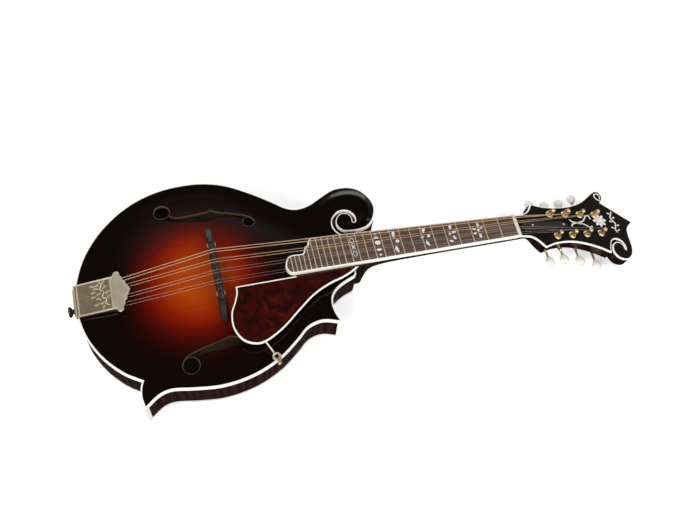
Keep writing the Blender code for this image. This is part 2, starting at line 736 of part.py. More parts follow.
# ---------------------------------------------------------------- bridge and tailpiece
def build_bridge(mats):
    x = -BRIDGE_TO_NUT
    half = BRIDGE_WIDTH / 2
    bottom = [(y, TOP_ARCH * dome(x - half, abs(y)) + 0.35) for y in np.linspace(-58, 58, 15)]
    top = [(58, 11.2), (52, 12.6), (37, 19.2), (-37, 19.2), (-52, 12.6), (-58, 11.2)]
    base = add("bridge_base", slab([bottom + top], x - half, x + half, "YZ"), RIM, mats["ebony"])
    sides = (("bass", 30.0), ("treble", -30.0))
    cut(base, joined([rod(1.75, 13, 25, (x, y)) for _, y in sides]))
    low, high = SADDLE_BOTTOM, SADDLE_TOP - 0.05
    crest = [
        (x - 3.8, low), (x + 3.8, low), (x + 3.6, high - 0.85), (x + 0.6, high), (x - 0.6, high),
        (x - 3.6, high - 1.65),
    ]
    outline = [(-38, low), (38, low), (38, 27), (33, 28.6), (26, 31), (-26, 31), (-33, 28.6), (-38, 27)]
    saddle = add("bridge_saddle", slab([outline], x - 6, x + 6, "YZ"), RIM, mats["ebony"])
    keep(saddle, slab([crest], -50, 50, "XZ"))
    cut(saddle, joined([rod(1.75, 20, 40, (x, y)) for _, y in sides]))
    wheel = finished(
        slab([[polar((0, 0), 5 - 0.35 * (k % 2), 15 * k) for k in range(24)]], -1.1, 1.1),
        ("DIFFERENCE", rod(1.75, -5, 5)),
    )
    for name, y in sides:
        add(f"bridge_post_{name}", rod(1.5, 14, 28.4, (0, 0)), RIM, mats["brass"], (x, y, 0))
        add(f"thumbwheel_{name}", wheel, RIM, mats["brass"], (x, y, 22.7))


def cover_outline():
    """The tailpiece cover from above: a straight plate with an ornamental front."""
    half = [
        (-512.4, 19.2), (-469.6, 19.6), (-467.6, 20.7), (-466.9, 22.8), (-465, 24.1), (-462.5, 24), (-460.6, 22.5),
        (-460.2, 20.4), (-460.4, 18.6), (-459, 17.2), (-457.8, 15), (-457.8, 13), (-456, 11.4), (-454.8, 9.2),
        (-455, 7.4), (-453.2, 5.8), (-452.6, 3.6), (-451.6, 1.6), (-450.7, 0.6),
    ]
    return [*half, *((x, -y) for x, y in half[::-1])][::-1]


def tilted(mesh, x, z, pitch):
    place = Matrix.Translation((x * MM, 0, z * MM))
    mesh.transform(place @ Matrix.Rotation(math.radians(pitch), 4, "Y") @ place.inverted())
    return mesh


def build_tailpiece(mats):
    tilt = -7.4
    shell = tilted(slab([cover_outline()], 3.6, 4.5), -512, 3.6, tilt)
    for side in (-1, 1):
        edges = sorted((side * 18.2, side * 19.2))
        flange = tilted(box((-512, edges[0], 1.2), (-470, edges[1], 4.0)), -512, 3.6, tilt)
        shell = finished(shell, ("UNION", flange))
    rear = tilted(box((-512.4, -19, 2.0), (-511.4, 19, 4.0)), -512, 3.6, tilt)
    cover = add("tailpiece_cover", shell, RIM, mats["nickel"])
    unite(cover, rear)
    bed = tilted(slab([[(-512.9, -17), (-468, -17.6), (-468, 17.6), (-512.9, 17)]], 0.5, 1.4), -512, 0.5, -2.9)
    drop = [(-14, 1.2), (-16.6, 0.6), (-9, -32), (9, -32), (16.6, 0.6), (14, 1.2)]
    hanger = slab([drop], -513.8, -512.7, "YZ")
    hooks = [
        box((HOOK[0] - 1.6, side * y - 0.7, 1.8), (HOOK[0] - 0.7, side * y + 0.7, 5.3))
        for y in STRING_AT_TAIL for side in (-1, 1)
    ]
    frame = finished(bed, ("UNION", hanger), ("UNION", joined(hooks)))
    base = add("tailpiece_base", frame, RIM, mats["nickel"])
    cut(base, rod(3.9, -520, -500, (0, END_PIN_Z), "X"))
    profile = [
        (0, 8.6), (5.6, 8.6), (6.2, 7.4), (5.6, 5.4), (3, 4.2), (2.6, 2.6), (3.4, 0.2), (3.4, -20), (0, -20),
    ]
    pin = turned(profile)
    pin.transform(Matrix.Rotation(-math.pi / 2, 4, "Y"))
    add("end_pin", pin, RIM, mats["ebony"], (-514.2, 0, END_PIN_Z))


# ---------------------------------------------------------------- pickguard
def wire(route, radius):
    """A round wire through a few points."""
    curve = bpy.data.curves.new("wire", "CURVE")
    curve.dimensions = "3D"
    curve.bevel_depth = radius
    curve.bevel_resolution = 1
    curve.use_fill_caps = True
    spline = curve.splines.new("POLY")
    spline.points.add(len(route) - 1)
    for point, place in zip(spline.points, route):
        point.co = (*place, 1)
    return curve


def sideways(mesh):
    """A mesh drawn along X, moved to the bracket's screw and turned to point out of the rim."""
    place = Matrix.Translation([MM * value for value in (*CLAMP_CENTRE, CLAMP_SCREW_Z)])
    mesh.transform(place @ Matrix.Rotation(math.atan2(CLAMP_OUT[1], CLAMP_OUT[0]), 4, "Z"))
    return mesh


def build_guard(mats):
    path = chain(GUARD_STRAIGHT, smooth([*GUARD_CURVE, GUARD_STRAIGHT[0]]))
    loop = [(x - GUARD_FRAME[0], y) for x, y in path]
    add("pickguard", slab([loop], -GUARD_THICK, 0), GUARD, mats["tortoise"])
    centre = np.array(CLAMP_CENTRE)
    top = CLAMP_TOP - CLAMP_SCREW_Z
    window = [polar(centre, 2.4, 90 * k - 17.6) for k in range(4)]
    ring = slab([circle(centre, 4.8, 14), window], CLAMP_TOP - 1.6, CLAMP_TOP)
    hook = [(3.4, top - 1.6), (4.35, top - 1.6), (4.35, 0), (5.75, 0), (5.75, top), (3.4, top)]
    lip = slab([hook], -2.4, 2.4, "XZ")
    bends = [(-324, -85, 14.2), (-321.5, -89, 14.2), (-314, -100.6, 5.2), (-312.6, -102.8, 1.7)]
    arm = tidy(curve_mesh(wire(bends, 1.0)))
    bracket = finished(
        ring,
        ("UNION", sideways(lip)),
        ("UNION", sideways(rod(2.4, 4.35, 5.75, (0, 0), "X", 16))),
        ("UNION", arm),
        ("DIFFERENCE", sideways(rod(1.6, 3, 8, (0, 0), "X"))),
    )
    add("guard_bracket", bracket, RIM, mats["brass"])
    profile = [(0, 7.7), (1.6, 7.4), (2.5, 6.6), (2.5, 6.05), (1.3, 6.05), (1.3, 1.4), (0, 1.4)]
    add("guard_screw", sideways(turned(profile, 14, "X")), RIM, mats["brass"])


# ---------------------------------------------------------------- strings
def head_point(s, v, n):
    """A point on the headstock, in the rim's frame."""
    pitch = math.radians(HEAD_PITCH)
    return (
        HEAD_START[0] + s * math.cos(pitch) + n * math.sin(pitch),
        v,
        HEAD_START[1] - s * math.sin(pitch) + n * math.cos(pitch),
    )


def string_route(k, side, radius):
    """From the tailpiece hook over the saddle and the nut, and round the post."""
    coil = POST_RADIUS + 0.2 + radius
    s0 = POST_FIRST + k * POST_STEP
    v0 = side * (POST_SIDE - k * POST_TAPER)
    start = 5.0 + 2.6 * (k % 2)
    nut_z = board_height(0.7) + NUT_TOP + 0.08 + radius
    route = [
        (HOOK[0], side * STRING_AT_TAIL[k], HOOK[1]),
        (-BRIDGE_TO_NUT, side * STRING_AT_BRIDGE[k], SADDLE_TOP + radius),
        (0.7, side * STRING_AT_NUT[k], nut_z),
    ]
    for step in range(COIL_STEPS + 1):
        angle = math.radians(side * (45 * step - 90))
        height = start - step / 8 * (2.2 * radius + 0.15)
        route.append(head_point(s0 + coil * math.cos(angle), v0 + coil * math.sin(angle), height))
    return route


def build_strings(mats):
    for number in range(8):
        side = 1 if number < 4 else -1
        k = number if side > 0 else 7 - number
        radius = STRING_RADII[number]
        curve = wire([[MM * v for v in place] for place in string_route(k, side, radius)], MM * radius)
        curve.materials.append(mats["bronze" if side > 0 else "steel"])
        made = bpy.data.objects.new(f"string_{number + 1}", curve)
        PARTS.objects.link(made)
        made.parent = RIM


# ---------------------------------------------------------------- build
for old in list(bpy.data.objects):
    bpy.data.objects.remove(old)
PARTS = bpy.data.collections.new("mandolin")
CUTTERS = bpy.data.collections.new("cutters")
CUTTERS.hide_render = True
bpy.context.scene.collection.children.link(PARTS)
bpy.context.scene.collection.children.link(CUTTERS)

RIM = empty("rim_frame", None, (BRIDGE_TO_NUT, 0, RIM_Z))
BOARD = empty("board_frame", RIM, (0, 0, BOARD_DROP), BOARD_PITCH)
HEAD = empty("head_frame", RIM, (HEAD_START[0], 0, HEAD_START[1]), HEAD_PITCH)
GUARD = empty("guard_frame", RIM, (GUARD_FRAME[0], 0, GUARD_FRAME[1]), GUARD_PITCH)

MATS = {
    "spruce": material("spruce", (0.42, 0.1, 0.02), 0.25),
    "maple": material("maple", (0.16, 0.05, 0.03), 0.25),
    "ivoroid": material("ivoroid", (0.85, 0.8, 0.68), 0.35),
    "rosewood": material("rosewood", (0.12, 0.06, 0.04), 0.5),
    "ebony": material("ebony", (0.02, 0.018, 0.016), 0.4),
    "bone": material("bone", (0.88, 0.85, 0.75), 0.4),
    "brass": material("brass", (0.75, 0.55, 0.25), 0.3, 1.0),
    "nickel": material("nickel", (0.6, 0.53, 0.42), 0.35, 1.0),
    "steel": material("steel", (0.6, 0.6, 0.6), 0.3, 1.0),
    "bronze": material("bronze", (0.7, 0.42, 0.25), 0.35, 1.0),
    "pearl": material("pearl", (0.8, 0.8, 0.76), 0.25),
    "tortoise": material("tortoise", (0.18, 0.02, 0.015), 0.2),
}

EDGE = plate_outline()
build_plates(EDGE, MATS)
build_rim(EDGE, MATS)
build_blocks(EDGE, MATS)
build_neck(MATS)
build_truss_rod(MATS)
build_headstock(MATS)
build_fretboard(MATS)
build_tuners(MATS)
build_bridge(MATS)
build_tailpiece(MATS)
build_guard(MATS)
build_strings(MATS)
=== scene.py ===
import math

import bmesh
import bpy
import numpy as np
from mathutils import Matrix, Vector
from mathutils.geometry import delaunay_2d_cdt


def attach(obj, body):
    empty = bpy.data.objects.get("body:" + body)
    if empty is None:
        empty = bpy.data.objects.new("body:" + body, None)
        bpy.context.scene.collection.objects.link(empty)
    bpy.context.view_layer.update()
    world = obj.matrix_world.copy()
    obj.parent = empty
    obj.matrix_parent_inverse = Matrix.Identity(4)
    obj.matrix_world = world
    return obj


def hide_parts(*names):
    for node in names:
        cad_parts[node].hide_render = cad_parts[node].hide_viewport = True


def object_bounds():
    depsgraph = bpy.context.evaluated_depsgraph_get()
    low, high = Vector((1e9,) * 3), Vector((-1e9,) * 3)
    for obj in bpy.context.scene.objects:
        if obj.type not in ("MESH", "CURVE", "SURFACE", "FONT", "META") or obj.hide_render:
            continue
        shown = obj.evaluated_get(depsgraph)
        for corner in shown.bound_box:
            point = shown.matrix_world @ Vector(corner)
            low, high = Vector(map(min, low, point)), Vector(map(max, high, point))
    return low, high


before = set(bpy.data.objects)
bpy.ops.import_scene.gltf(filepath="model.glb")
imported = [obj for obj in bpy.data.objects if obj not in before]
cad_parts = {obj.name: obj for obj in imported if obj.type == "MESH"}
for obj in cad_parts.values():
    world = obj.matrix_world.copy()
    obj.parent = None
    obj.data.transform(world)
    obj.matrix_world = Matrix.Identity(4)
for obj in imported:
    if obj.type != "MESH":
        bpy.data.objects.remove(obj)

cad_box = [list(corner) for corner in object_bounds()]
MM = 0.001
ROOT = "instrument"

SLOPE, PITCH = math.radians(4.843), math.radians(17)  # how far the fretboard and the headstock lean
BOARD_DROP, SCALE, NUT_HALF = -3.36, 353.7, 14.66
ARCH, BACK_ARCH, PLATE_THICK, BACK_EDGE = 11.5, 10.5, 4.2, -43.86
BRIDGE_X = -357
POST_START, POST_GAP, POST_ROW, POST_DRIFT, WORM = 53.5, 22.9, 15.3, 0.7, 9  # the tuners' rows

# Frames, in millimetres: the rim's top edge at the nut, the fretboard, the headstock and the guard
RIM = Matrix.Translation((357, 0, 54.36))
BOARD = RIM @ Matrix.Translation((0, 0, BOARD_DROP)) @ Matrix.Rotation(SLOPE, 4, "Y")
HEAD = RIM @ Matrix.Translation((4, 0, -6.3)) @ Matrix.Rotation(PITCH, 4, "Y")
GUARD = RIM @ Matrix.Translation((-204, 0, 9.9)) @ Matrix.Rotation(math.atan(0.07), 4, "Y")

# Outlines as (x, y), each run from corner to corner
TAIL_TO_NOTCH = [
    (-510.5, 0), (-508.9, -22), (-502.7, -45), (-489.7, -68.9), (-471.5, -89.3), (-452.1, -102.8),
]
LOWER_POINT = [(-452.1, -102.8), (-455, -110), (-456.3, -120), (-454.5, -131.3)]
TREBLE_SIDE = [
    (-454.5, -131.3), (-439.5, -120.9), (-424.5, -117.7), (-400, -121.5), (-374.5, -124.2), (-349, -121.8),
    (-326, -115.2), (-304, -104.2), (-284.7, -89.6), (-269.7, -77.1), (-252, -73.1), (-233.7, -78.2),
]
UPPER_POINT = [
    (-233.7, -78.2), (-237.2, -68), (-238.3, -58), (-236.3, -47.9), (-229.8, -39.4), (-219.9, -33),
    (-205.9, -27.3),
]
NECK_END = [(-204, -25), (-204, 23), (-207.5, 25.3)]
SCROLL_AND_BASS = [
    (-192.5, 30.2), (-183, 30.5), (-175.1, 32.8), (-168.5, 38.3), (-163.6, 47), (-161.5, 56),
    (-163.6, 66.5), (-170.3, 77.5), (-180.3, 84.8), (-192, 87.4), (-205.3, 86.2), (-220.3, 79.1),
    (-235.3, 71.6), (-250.3, 68.8), (-264, 73.1), (-279, 84.8), (-300.4, 100.3), (-326, 115.6),
    (-351, 123.6), (-377.5, 125.7), (-404, 123.1), (-430.5, 114.8), (-456, 99.8), (-479, 78.6), (-497.3, 52),
    (-508.1, 23), (-510.5, 0),
]
SCROLL_RIDGE = [
    (-262, 40), (-247, 50), (-232, 59), (-218, 67), (-204, 73), (-190, 74.5), (-178, 70), (-171.5, 61),
    (-171, 50), (-176, 41.5), (-185, 37.5), (-195, 36.5),
]
SLOT_CENTRE, SLOT_INNER, SLOT_OUTER = (-199.3, 44.7), 8.5, 13.9

HEAD_TREBLE_CURL = [(1.8, -13.1), (9, -13.2), (16.3, -14.3), (21.5, -17.3), (25.7, -21.3), (32, -28.8)]
HEAD_TREBLE_WAIST = [(32, -28.8), (47.7, -24.2), (68.6, -22.4), (89.5, -25.1), (110.4, -31.7), (126.1, -38.9)]
HEAD_SCROLL = [
    (126.1, -38.9), (127.9, -33), (133.4, -23.9), (141.8, -20.6), (150.2, -24.4), (153.3, -32.4),
    (151.7, -38.6), (149.3, -37.2), (148.1, -30.9), (141.8, -27.4), (134.5, -31.4), (132.2, -39.4),
    (136.6, -47.4), (147, -50.3), (155.9, -45.8), (161.1, -37.3), (162.8, -27.3), (164, -15.3),
    (167.4, -6.2), (177.3, 1.6),
]
HEAD_HOOK = [(139, 31), (143.4, 35), (146.2, 40), (144.4, 45.4), (139, 47.8), (131.3, 44.3)]
HEAD_BASS_WAIST = [(131.3, 44.3), (110.4, 32), (89.5, 25.7), (68.6, 23.9), (47.7, 25.1), (31.5, 29)]
HEAD_BASS_CURL = [(31.5, 29), (25.7, 21.7), (20.5, 17.7), (14.2, 15.2), (9, 13.6), (1.8, 13.2)]

BOARD_END = [
    (-247.5, 20.4), (-250.6, 15.5), (-251.4, 11.6), (-255.3, 9.6), (-257.1, 5.2), (-260, 1.8),
    (-271, 1.8), (-277.6, -1.2), (-281.2, -10.5), (-279.2, -18), (-274.5, -21),
]
HOLE_EYES = (((-404.9, 93.9), 9.3, 40), ((-309.3, 62.6), 6.8, 32))
HOLE_RUNS = (
    [(-413.5, 90.5), (-410.4, 84.8), (-404, 81.3), (-390.3, 77.4), (-370.2, 73.2), (-359.1, 70.2)],
    [(-359.1, 70.2), (-350, 72), (-340, 73), (-330, 72.3), (-318, 69.5), (-312.5, 65)],
    [(-303.5, 66), (-306.5, 70.5), (-315, 74.6), (-330, 79.1), (-342, 82.6), (-350.1, 86.8)],
    [(-350.1, 86.8), (-356, 84.5), (-370.2, 83.7), (-385.3, 83.4), (-393, 84.9), (-397.3, 88.6)],
)
TREBLE_HOLE_SHIFT = (3.5, 3.0)
GUARD_STRAIGHT = [(-340.1, -23.8), (-201.9, -20.4)]
GUARD_CURVE = [
    (-199.3, -22), (-217, -31.2), (-236.9, -37.8), (-256.8, -47.9), (-276.7, -63.3), (-296.4, -79.5),
    (-316.2, -91.2), (-330, -93.8), (-343.7, -87.1), (-351.2, -72), (-350.6, -55), (-344.9, -42.2),
    (-341, -32.2),
]
STRINGS_AT_TAIL = (16.2, 12.6, 7.8, 4.3)
STRINGS_AT_BRIDGE = (20.5, 17.1, 8.2, 4.8)
STRINGS_AT_NUT = (12.0, 9.6, 4.8, 2.4)
STRING_RADII = (0.51, 0.51, 0.33, 0.33, 0.19, 0.19, 0.14, 0.14)
SADDLE_TOP, HOOK = 30.3, (-474.0, 4.3)
BUTTON_REACH = (40.5, 38.0, 41.0, 48.0)
KEY_LEVEL = -19.6


# ------------------------ outlines
def catmull(a, b, c, d, steps):
    """Points on the curve from b towards c."""
    return [
        0.5 * (2 * b + (c - a) * t + (2 * a - 5 * b + 4 * c - d) * t**2 + (3 * b - a - 3 * c + d) * t**3)
        for t in np.arange(steps) / steps
    ]


def smooth(points, steps=8):
    pts = [np.array(p, float) for p in points]
    pts = [2 * pts[0] - pts[1], *pts, 2 * pts[-1] - pts[-2]]
    out = []
    for four in zip(pts, pts[1:], pts[2:], pts[3:]):
        out += catmull(*four, steps)
    return [*out, pts[-2]]


def smooth_loop(points, steps):
    pts = [np.array(p, float) for p in points]
    out = []
    for k in range(len(pts)):
        out += catmull(*(pts[(k + j) % len(pts)] for j in (-1, 0, 1, 2)), steps)
    return out


def chain(*runs):
    out = []
    for point in (np.array(p, float) for run in runs for p in run):
        if not out or np.linalg.norm(point - out[-1]) > 1e-3:
            out.append(point)
    if np.linalg.norm(out[0] - out[-1]) < 1e-3:
        out.pop()
    return out


def offset(path, distance, closed=True):
    pts = np.array(path, float)
    along = np.roll(pts, -1, axis=0) - pts
    normal = np.stack([along[:, 1], -along[:, 0]], axis=1)
    normal /= np.linalg.norm(normal, axis=1)[:, None]
    before = np.roll(normal, 1, axis=0)
    if not closed:
        before[0] = normal[0]
        normal[-1] = before[-1]
    mitre = (before + normal) / (1 + (before * normal).sum(axis=1))[:, None]
    return list(pts + distance * mitre)


def polar(centre, radius, degrees):
    angle = math.radians(degrees)
    return np.array([centre[0] + radius * math.cos(angle), centre[1] + radius * math.sin(angle)])


def circle(centre, radius, count):
    return [polar(centre, radius, 360 * k / count) for k in range(count)]


def plate_outline():
    """The body's edge, with the spiral slot of its scroll."""
    outer = [
        polar(SLOT_CENTRE, SLOT_OUTER + 6.5 * (max(0, angle - 140) / 96) ** 1.2, angle)
        for angle in np.arange(236, -17, -7)
    ]
    end = polar(SLOT_CENTRE, (SLOT_INNER + SLOT_OUTER) / 2, -16)
    round_end = [polar(end, (SLOT_OUTER - SLOT_INNER) / 2, -16 - part) for part in np.arange(20, 180, 20)]
    inner = [
        polar(SLOT_CENTRE, SLOT_INNER + 5.3 * (max(0, angle - 150) / 115) ** 1.3, angle)
        for angle in np.arange(-13, 261, 7)
    ]
    treble = [smooth(run) for run in (TAIL_TO_NOTCH, LOWER_POINT, TREBLE_SIDE, UPPER_POINT)]
    return chain(*treble, NECK_END, outer, round_end, inner[:-1], smooth([inner[-1], *SCROLL_AND_BASS]))


def head_outline():
    runs = (HEAD_TREBLE_CURL, HEAD_TREBLE_WAIST, HEAD_SCROLL, HEAD_HOOK, HEAD_BASS_WAIST, HEAD_BASS_CURL)
    return chain(*[smooth(run) for run in runs])


def board_path():
    stretch = 1 / math.cos(SLOPE)
    end = [(x * stretch, y) for x, y in smooth(BOARD_END, 6)]
    return [np.array(p) for p in [(0, NUT_HALF), *end, (0, -NUT_HALF)]]


def inside(points, loop):
    """Which points lie inside a loop."""
    loop = np.array(loop)
    nxt = np.roll(loop, -1, axis=0)
    x, y = points[:, 0][:, None], points[:, 1][:, None]
    crosses = (loop[:, 1] > y) != (nxt[:, 1] > y)
    rise = np.where(nxt[:, 1] == loop[:, 1], 1e-12, nxt[:, 1] - loop[:, 1])
    hit = loop[:, 0] + (y - loop[:, 1]) * (nxt[:, 0] - loop[:, 0]) / rise
    return (crosses & (x < hit)).sum(axis=1) % 2 == 1


def distance_to(points, path, closed=True):
    """How far points lie from a path, and the share of the path passed where they are nearest."""
    path = np.array(path, float)
    a = path if closed else path[:-1]
    b = np.roll(path, -1, axis=0) if closed else path[1:]
    best = np.full(len(points), 1e9)
    share = np.zeros(len(points))
    for k, (p, q) in enumerate(zip(a, b)):
        along = q - p
        t = np.clip(((points - p) @ along) / (along @ along), 0, 1)
        d = np.linalg.norm(points - p - t[:, None] * along, axis=1)
        nearer = d < best
        best[nearer] = d[nearer]
        share[nearer] = (k + t[nearer]) / len(a)
    return best, share


def ramp(value, low, high):
    t = np.clip((np.asarray(value, float) - low) / (high - low), 0, 1)
    return t * t * (3 - 2 * t)


def dome(x, y):
    """The arch of a plate, 1 at its crown and 0 at its edge."""
    across = 120 - 54 * ramp(x, -357, -250)
    along = np.where(x > -375, 175.0, 122.0)
    reach = np.minimum(1, np.hypot((x + 375) / along, y / across))
    return (1 + np.cos(np.pi * reach**1.25)) / 2


def arch(x, y):
    return ARCH * dome(x, y)


def board_height(x):
    return BOARD_DROP - x * math.tan(SLOPE)


def board_half(x):
    """Half the width of the fretboard with its binding."""
    return 13.157 - 0.02309 * x + 1.5


def fret_x(number):
    return -SCALE * (1 - 2 ** (-number / 12))


def ellipse(a, wide, deep):
    return wide * math.cos(a), deep * math.sin(a)


def placed(points, centre, degrees):
    """Points turned and then moved to a centre."""
    c, s = math.cos(math.radians(degrees)), math.sin(math.radians(degrees))
    return [np.array((centre[0] + x * c - y * s, centre[1] + x * s + y * c)) for x, y in points]


def leaf(centre, length, width, degrees, bend=0.0):
    """A pointed oval, bent to one side."""
    loop = []
    for side in (1, -1):
        for t in np.linspace(0, 1, 9)[::side][:-1]:
            y = side * width / 2 * math.sin(math.pi * t) ** 0.8 + bend * 4 * t * (1 - t)
            loop.append(((t - 0.5) * length, y))
    return placed(loop, centre, degrees)


def oval(centre, along, across, degrees=0.0):
    loop = [ellipse(2 * math.pi * k / 22, along / 2, across / 2) for k in range(22)]
    return placed(loop, centre, degrees)


def triangles(loops, extra=()):
    """Flat faces inside the first loop and outside the others, on the extra points too."""
    points, edges = [], []
    for loop in loops:
        base = len(points)
        points += [Vector(p) for p in loop]
        edges += [(base + k, base + (k + 1) % len(loop)) for k in range(len(loop))]
    points += [Vector(p) for p in extra]
    verts, _, faces, *_ = delaunay_2d_cdt(points, edges, [], 0, 1e-5)
    flat = np.array([tuple(v) for v in verts])
    centres = np.array([flat[list(f)].mean(axis=0) for f in faces])
    keep = inside(centres, loops[0])
    for hole in loops[1:]:
        keep &= ~inside(centres, hole)
    return flat, [list(f) for f, k in zip(faces, keep) if k]


# ------------------------ meshes
def strips(rows, count, round_rows, round_count):
    """Faces between neighbouring rows of points."""
    faces = []
    for r in range(rows if round_rows else rows - 1):
        a, b = r * count, (r + 1) % rows * count
        for k in range(count if round_count else count - 1):
            j = (k + 1) % count
            faces.append((a + k, a + j, b + j, b + k))
    return faces


class Shape:
    """Vertices and faces in millimetres, with a material index on each face."""

    def __init__(self):
        self.verts, self.faces, self.index = [], [], []

    def add(self, verts, faces, index=0):
        base = len(self.verts)
        self.verts += [tuple(map(float, v)) for v in verts]
        for n, face in enumerate(faces):
            self.faces.append([base + v for v in face])
            self.index.append(index[n] if isinstance(index, list) else index)
        return self

    def loft(self, rings):
        """Skins sections of equal length and caps both ends."""
        count, last = len(rings[0]), (len(rings) - 1) * len(rings[0])
        caps = [list(range(count))[::-1], [last + k for k in range(count)]]
        return self.add([v for ring in rings for v in ring], strips(len(rings), count, False, True) + caps)

    def lathe(self, profile, sides, matrix=None):
        """Profile of (radius, height) pairs from the bottom up."""
        rings = []
        turns = [2 * math.pi * k / sides for k in range(sides)]
        for r, z in profile:
            ring = [Vector((*ellipse(a, max(r, 1e-3), max(r, 1e-3)), z)) for a in turns]
            rings.append([tuple(matrix @ p if matrix else p) for p in ring])
        return self.loft(rings)

    def tube(self, points, radius, sides):
        pts = [Vector(p) for p in points]
        radii = radius if isinstance(radius, (list, tuple)) else [radius] * len(pts)
        up = None
        rings = []
        for k, p in enumerate(pts):
            along = (pts[min(k + 1, len(pts) - 1)] - pts[max(k - 1, 0)]).normalized()
            if up is None:
                up = along.orthogonal().normalized()
            up = (up - along * up.dot(along)).normalized()
            side = along.cross(up)
            turns = [2 * math.pi * j / sides for j in range(sides)]
            rings.append([tuple(p + radii[k] * (math.cos(a) * up + math.sin(a) * side)) for a in turns])
        return self.loft(rings)

    def ring(self, loop, section, index=0, closed=True):
        """A section of (offset, height) points swept round a loop."""
        loops = [[(*p, z) for p in offset(loop, d, closed)] for d, z in section]
        count = len(loop)
        faces = strips(len(loops), count, True, closed)
        if not closed:
            ends = [r * count for r in range(len(loops))]
            faces += [ends, [k + count - 1 for k in ends][::-1]]
        return self.add([v for one in loops for v in one], faces, index)

    def prism(self, loop, low, high, holes=()):
        """A flat outline with holes, from low to high."""
        flat, faces = triangles([loop, *holes])
        return self.skin(flat, faces, lambda p: np.full(len(p), high), lambda p: np.full(len(p), low))

    def skin(self, flat, faces, top, bottom, upper=0, lower=0, wall=0):
        """Two sheets over the same flat triangles, joined round their edges."""
        count = len(flat)
        high, low = top(flat), bottom(flat)
        verts = [(x, y, z) for (x, y), z in zip(flat, high)] + [(x, y, z) for (x, y), z in zip(flat, low)]
        edges = dict.fromkeys((a, b) for f in faces for a, b in zip(f, [*f[1:], f[0]]))
        walls = [(b, a, a + count, b + count) for a, b in edges if (b, a) not in edges]
        all_faces = [*faces, *[[v + count for v in f[::-1]] for f in faces], *walls]
        kinds = [upper] * len(faces) + [lower] * len(faces) + [wall] * len(walls)
        return self.add(verts, all_faces, kinds)

    def join(self, other, order=(0, 1, 2)):
        """Adds another Shape, with its axes taken in this order."""
        return self.add([[v[axis] for axis in order] for v in other.verts], other.faces)


def prism(*args, **options):
    return Shape().prism(*args, **options)


def piece(name, shape, matrix, keys, body=ROOT, replaces=None, bevel=0.0, angle=32, segments=2):
    """A Shape as an object in place, riding on its body; its materials are given by their keys in M."""
    keys = [keys] if isinstance(keys, str) else keys
    mesh = bpy.data.meshes.new(name)
    mesh.from_pydata(shape.verts, [], shape.faces)
    for polygon, index in zip(mesh.polygons, shape.index):
        polygon.material_index = index
    work = bmesh.new()
    work.from_mesh(mesh)
    used = {v for f in work.faces for v in f.verts}
    bmesh.ops.delete(work, geom=[v for v in work.verts if v not in used], context="VERTS")
    bmesh.ops.remove_doubles(work, verts=work.verts, dist=0.004)
    bmesh.ops.recalc_face_normals(work, faces=work.faces)
    work.transform(Matrix.Scale(MM, 4) @ matrix)
    for face in work.faces:
        face.smooth = True
    for edge in work.edges:
        if len(edge.link_faces) == 2:
            edge.smooth = edge.calc_face_angle(0) < math.radians(angle)
    work.to_mesh(mesh)
    work.free()
    for key in keys:
        mesh.materials.append(M[key])
    made = bpy.data.objects.new(name, mesh)
    bpy.context.scene.collection.objects.link(made)
    if bevel:
        modifier = made.modifiers.new("edges", "BEVEL")
        modifier.width = bevel * MM
        modifier.segments = segments
        modifier.limit_method = "ANGLE"
        modifier.angle_limit = math.radians(max(angle, 32))
        modifier.harden_normals = True
        modifier.use_clamp_overlap = True
    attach(made, body)
    if replaces:
        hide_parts(replaces)
    return made


def carve(made, shape, matrix, key):
    """Cuts a Shape out of a piece for good."""
    cutter = piece(f"{made.name}_cut", shape, matrix, key)
    modifier = made.modifiers.new("cut", "BOOLEAN")
    modifier.object = cutter
    modifier.operation = "DIFFERENCE"
    modifier.solver = "MANIFOLD"
    graph = bpy.context.evaluated_depsgraph_get()
    mesh = bpy.data.meshes.new_from_object(made.evaluated_get(graph))
    made.modifiers.clear()
    made.data = mesh
    bpy.data.objects.remove(cutter)
    return made


def screw(name, matrix, radius, key="gold", height=0.0, turn=0.0):
    """A slotted, slightly domed screw head, standing on z = height."""
    profile = [
        (0, height - 0.8), (radius, height - 0.8), (radius, height + 0.15), (radius * 0.86, height + 0.42),
        (radius * 0.5, height + 0.62), (0, height + 0.68),
    ]
    made = piece(name, Shape().lathe(profile, 24), matrix, key, angle=50)
    long, half = radius * 1.2, radius * 0.14
    blade = prism([(-long, -half), (long, -half), (long, half), (-long, half)], height + 0.28, height + 1.6)
    return carve(made, blade, matrix @ Matrix.Rotation(turn, 4, "Z"), key)


# ------------------------ materials
def set_stops(color_ramp, stops):
    while len(color_ramp.elements) < len(stops):
        color_ramp.elements.new(0.5)
    for element, (position, colour) in zip(color_ramp.elements, stops):
        element.position = position
        element.color = (*colour, 1)


def scaled(colour, factor):
    return tuple(c * factor for c in colour)


def set_inputs(node, **values):
    """Sets a node's inputs; an underscore in a keyword stands for a space."""
    for key, value in values.items():
        node.inputs[key.replace("_", " ")].default_value = value


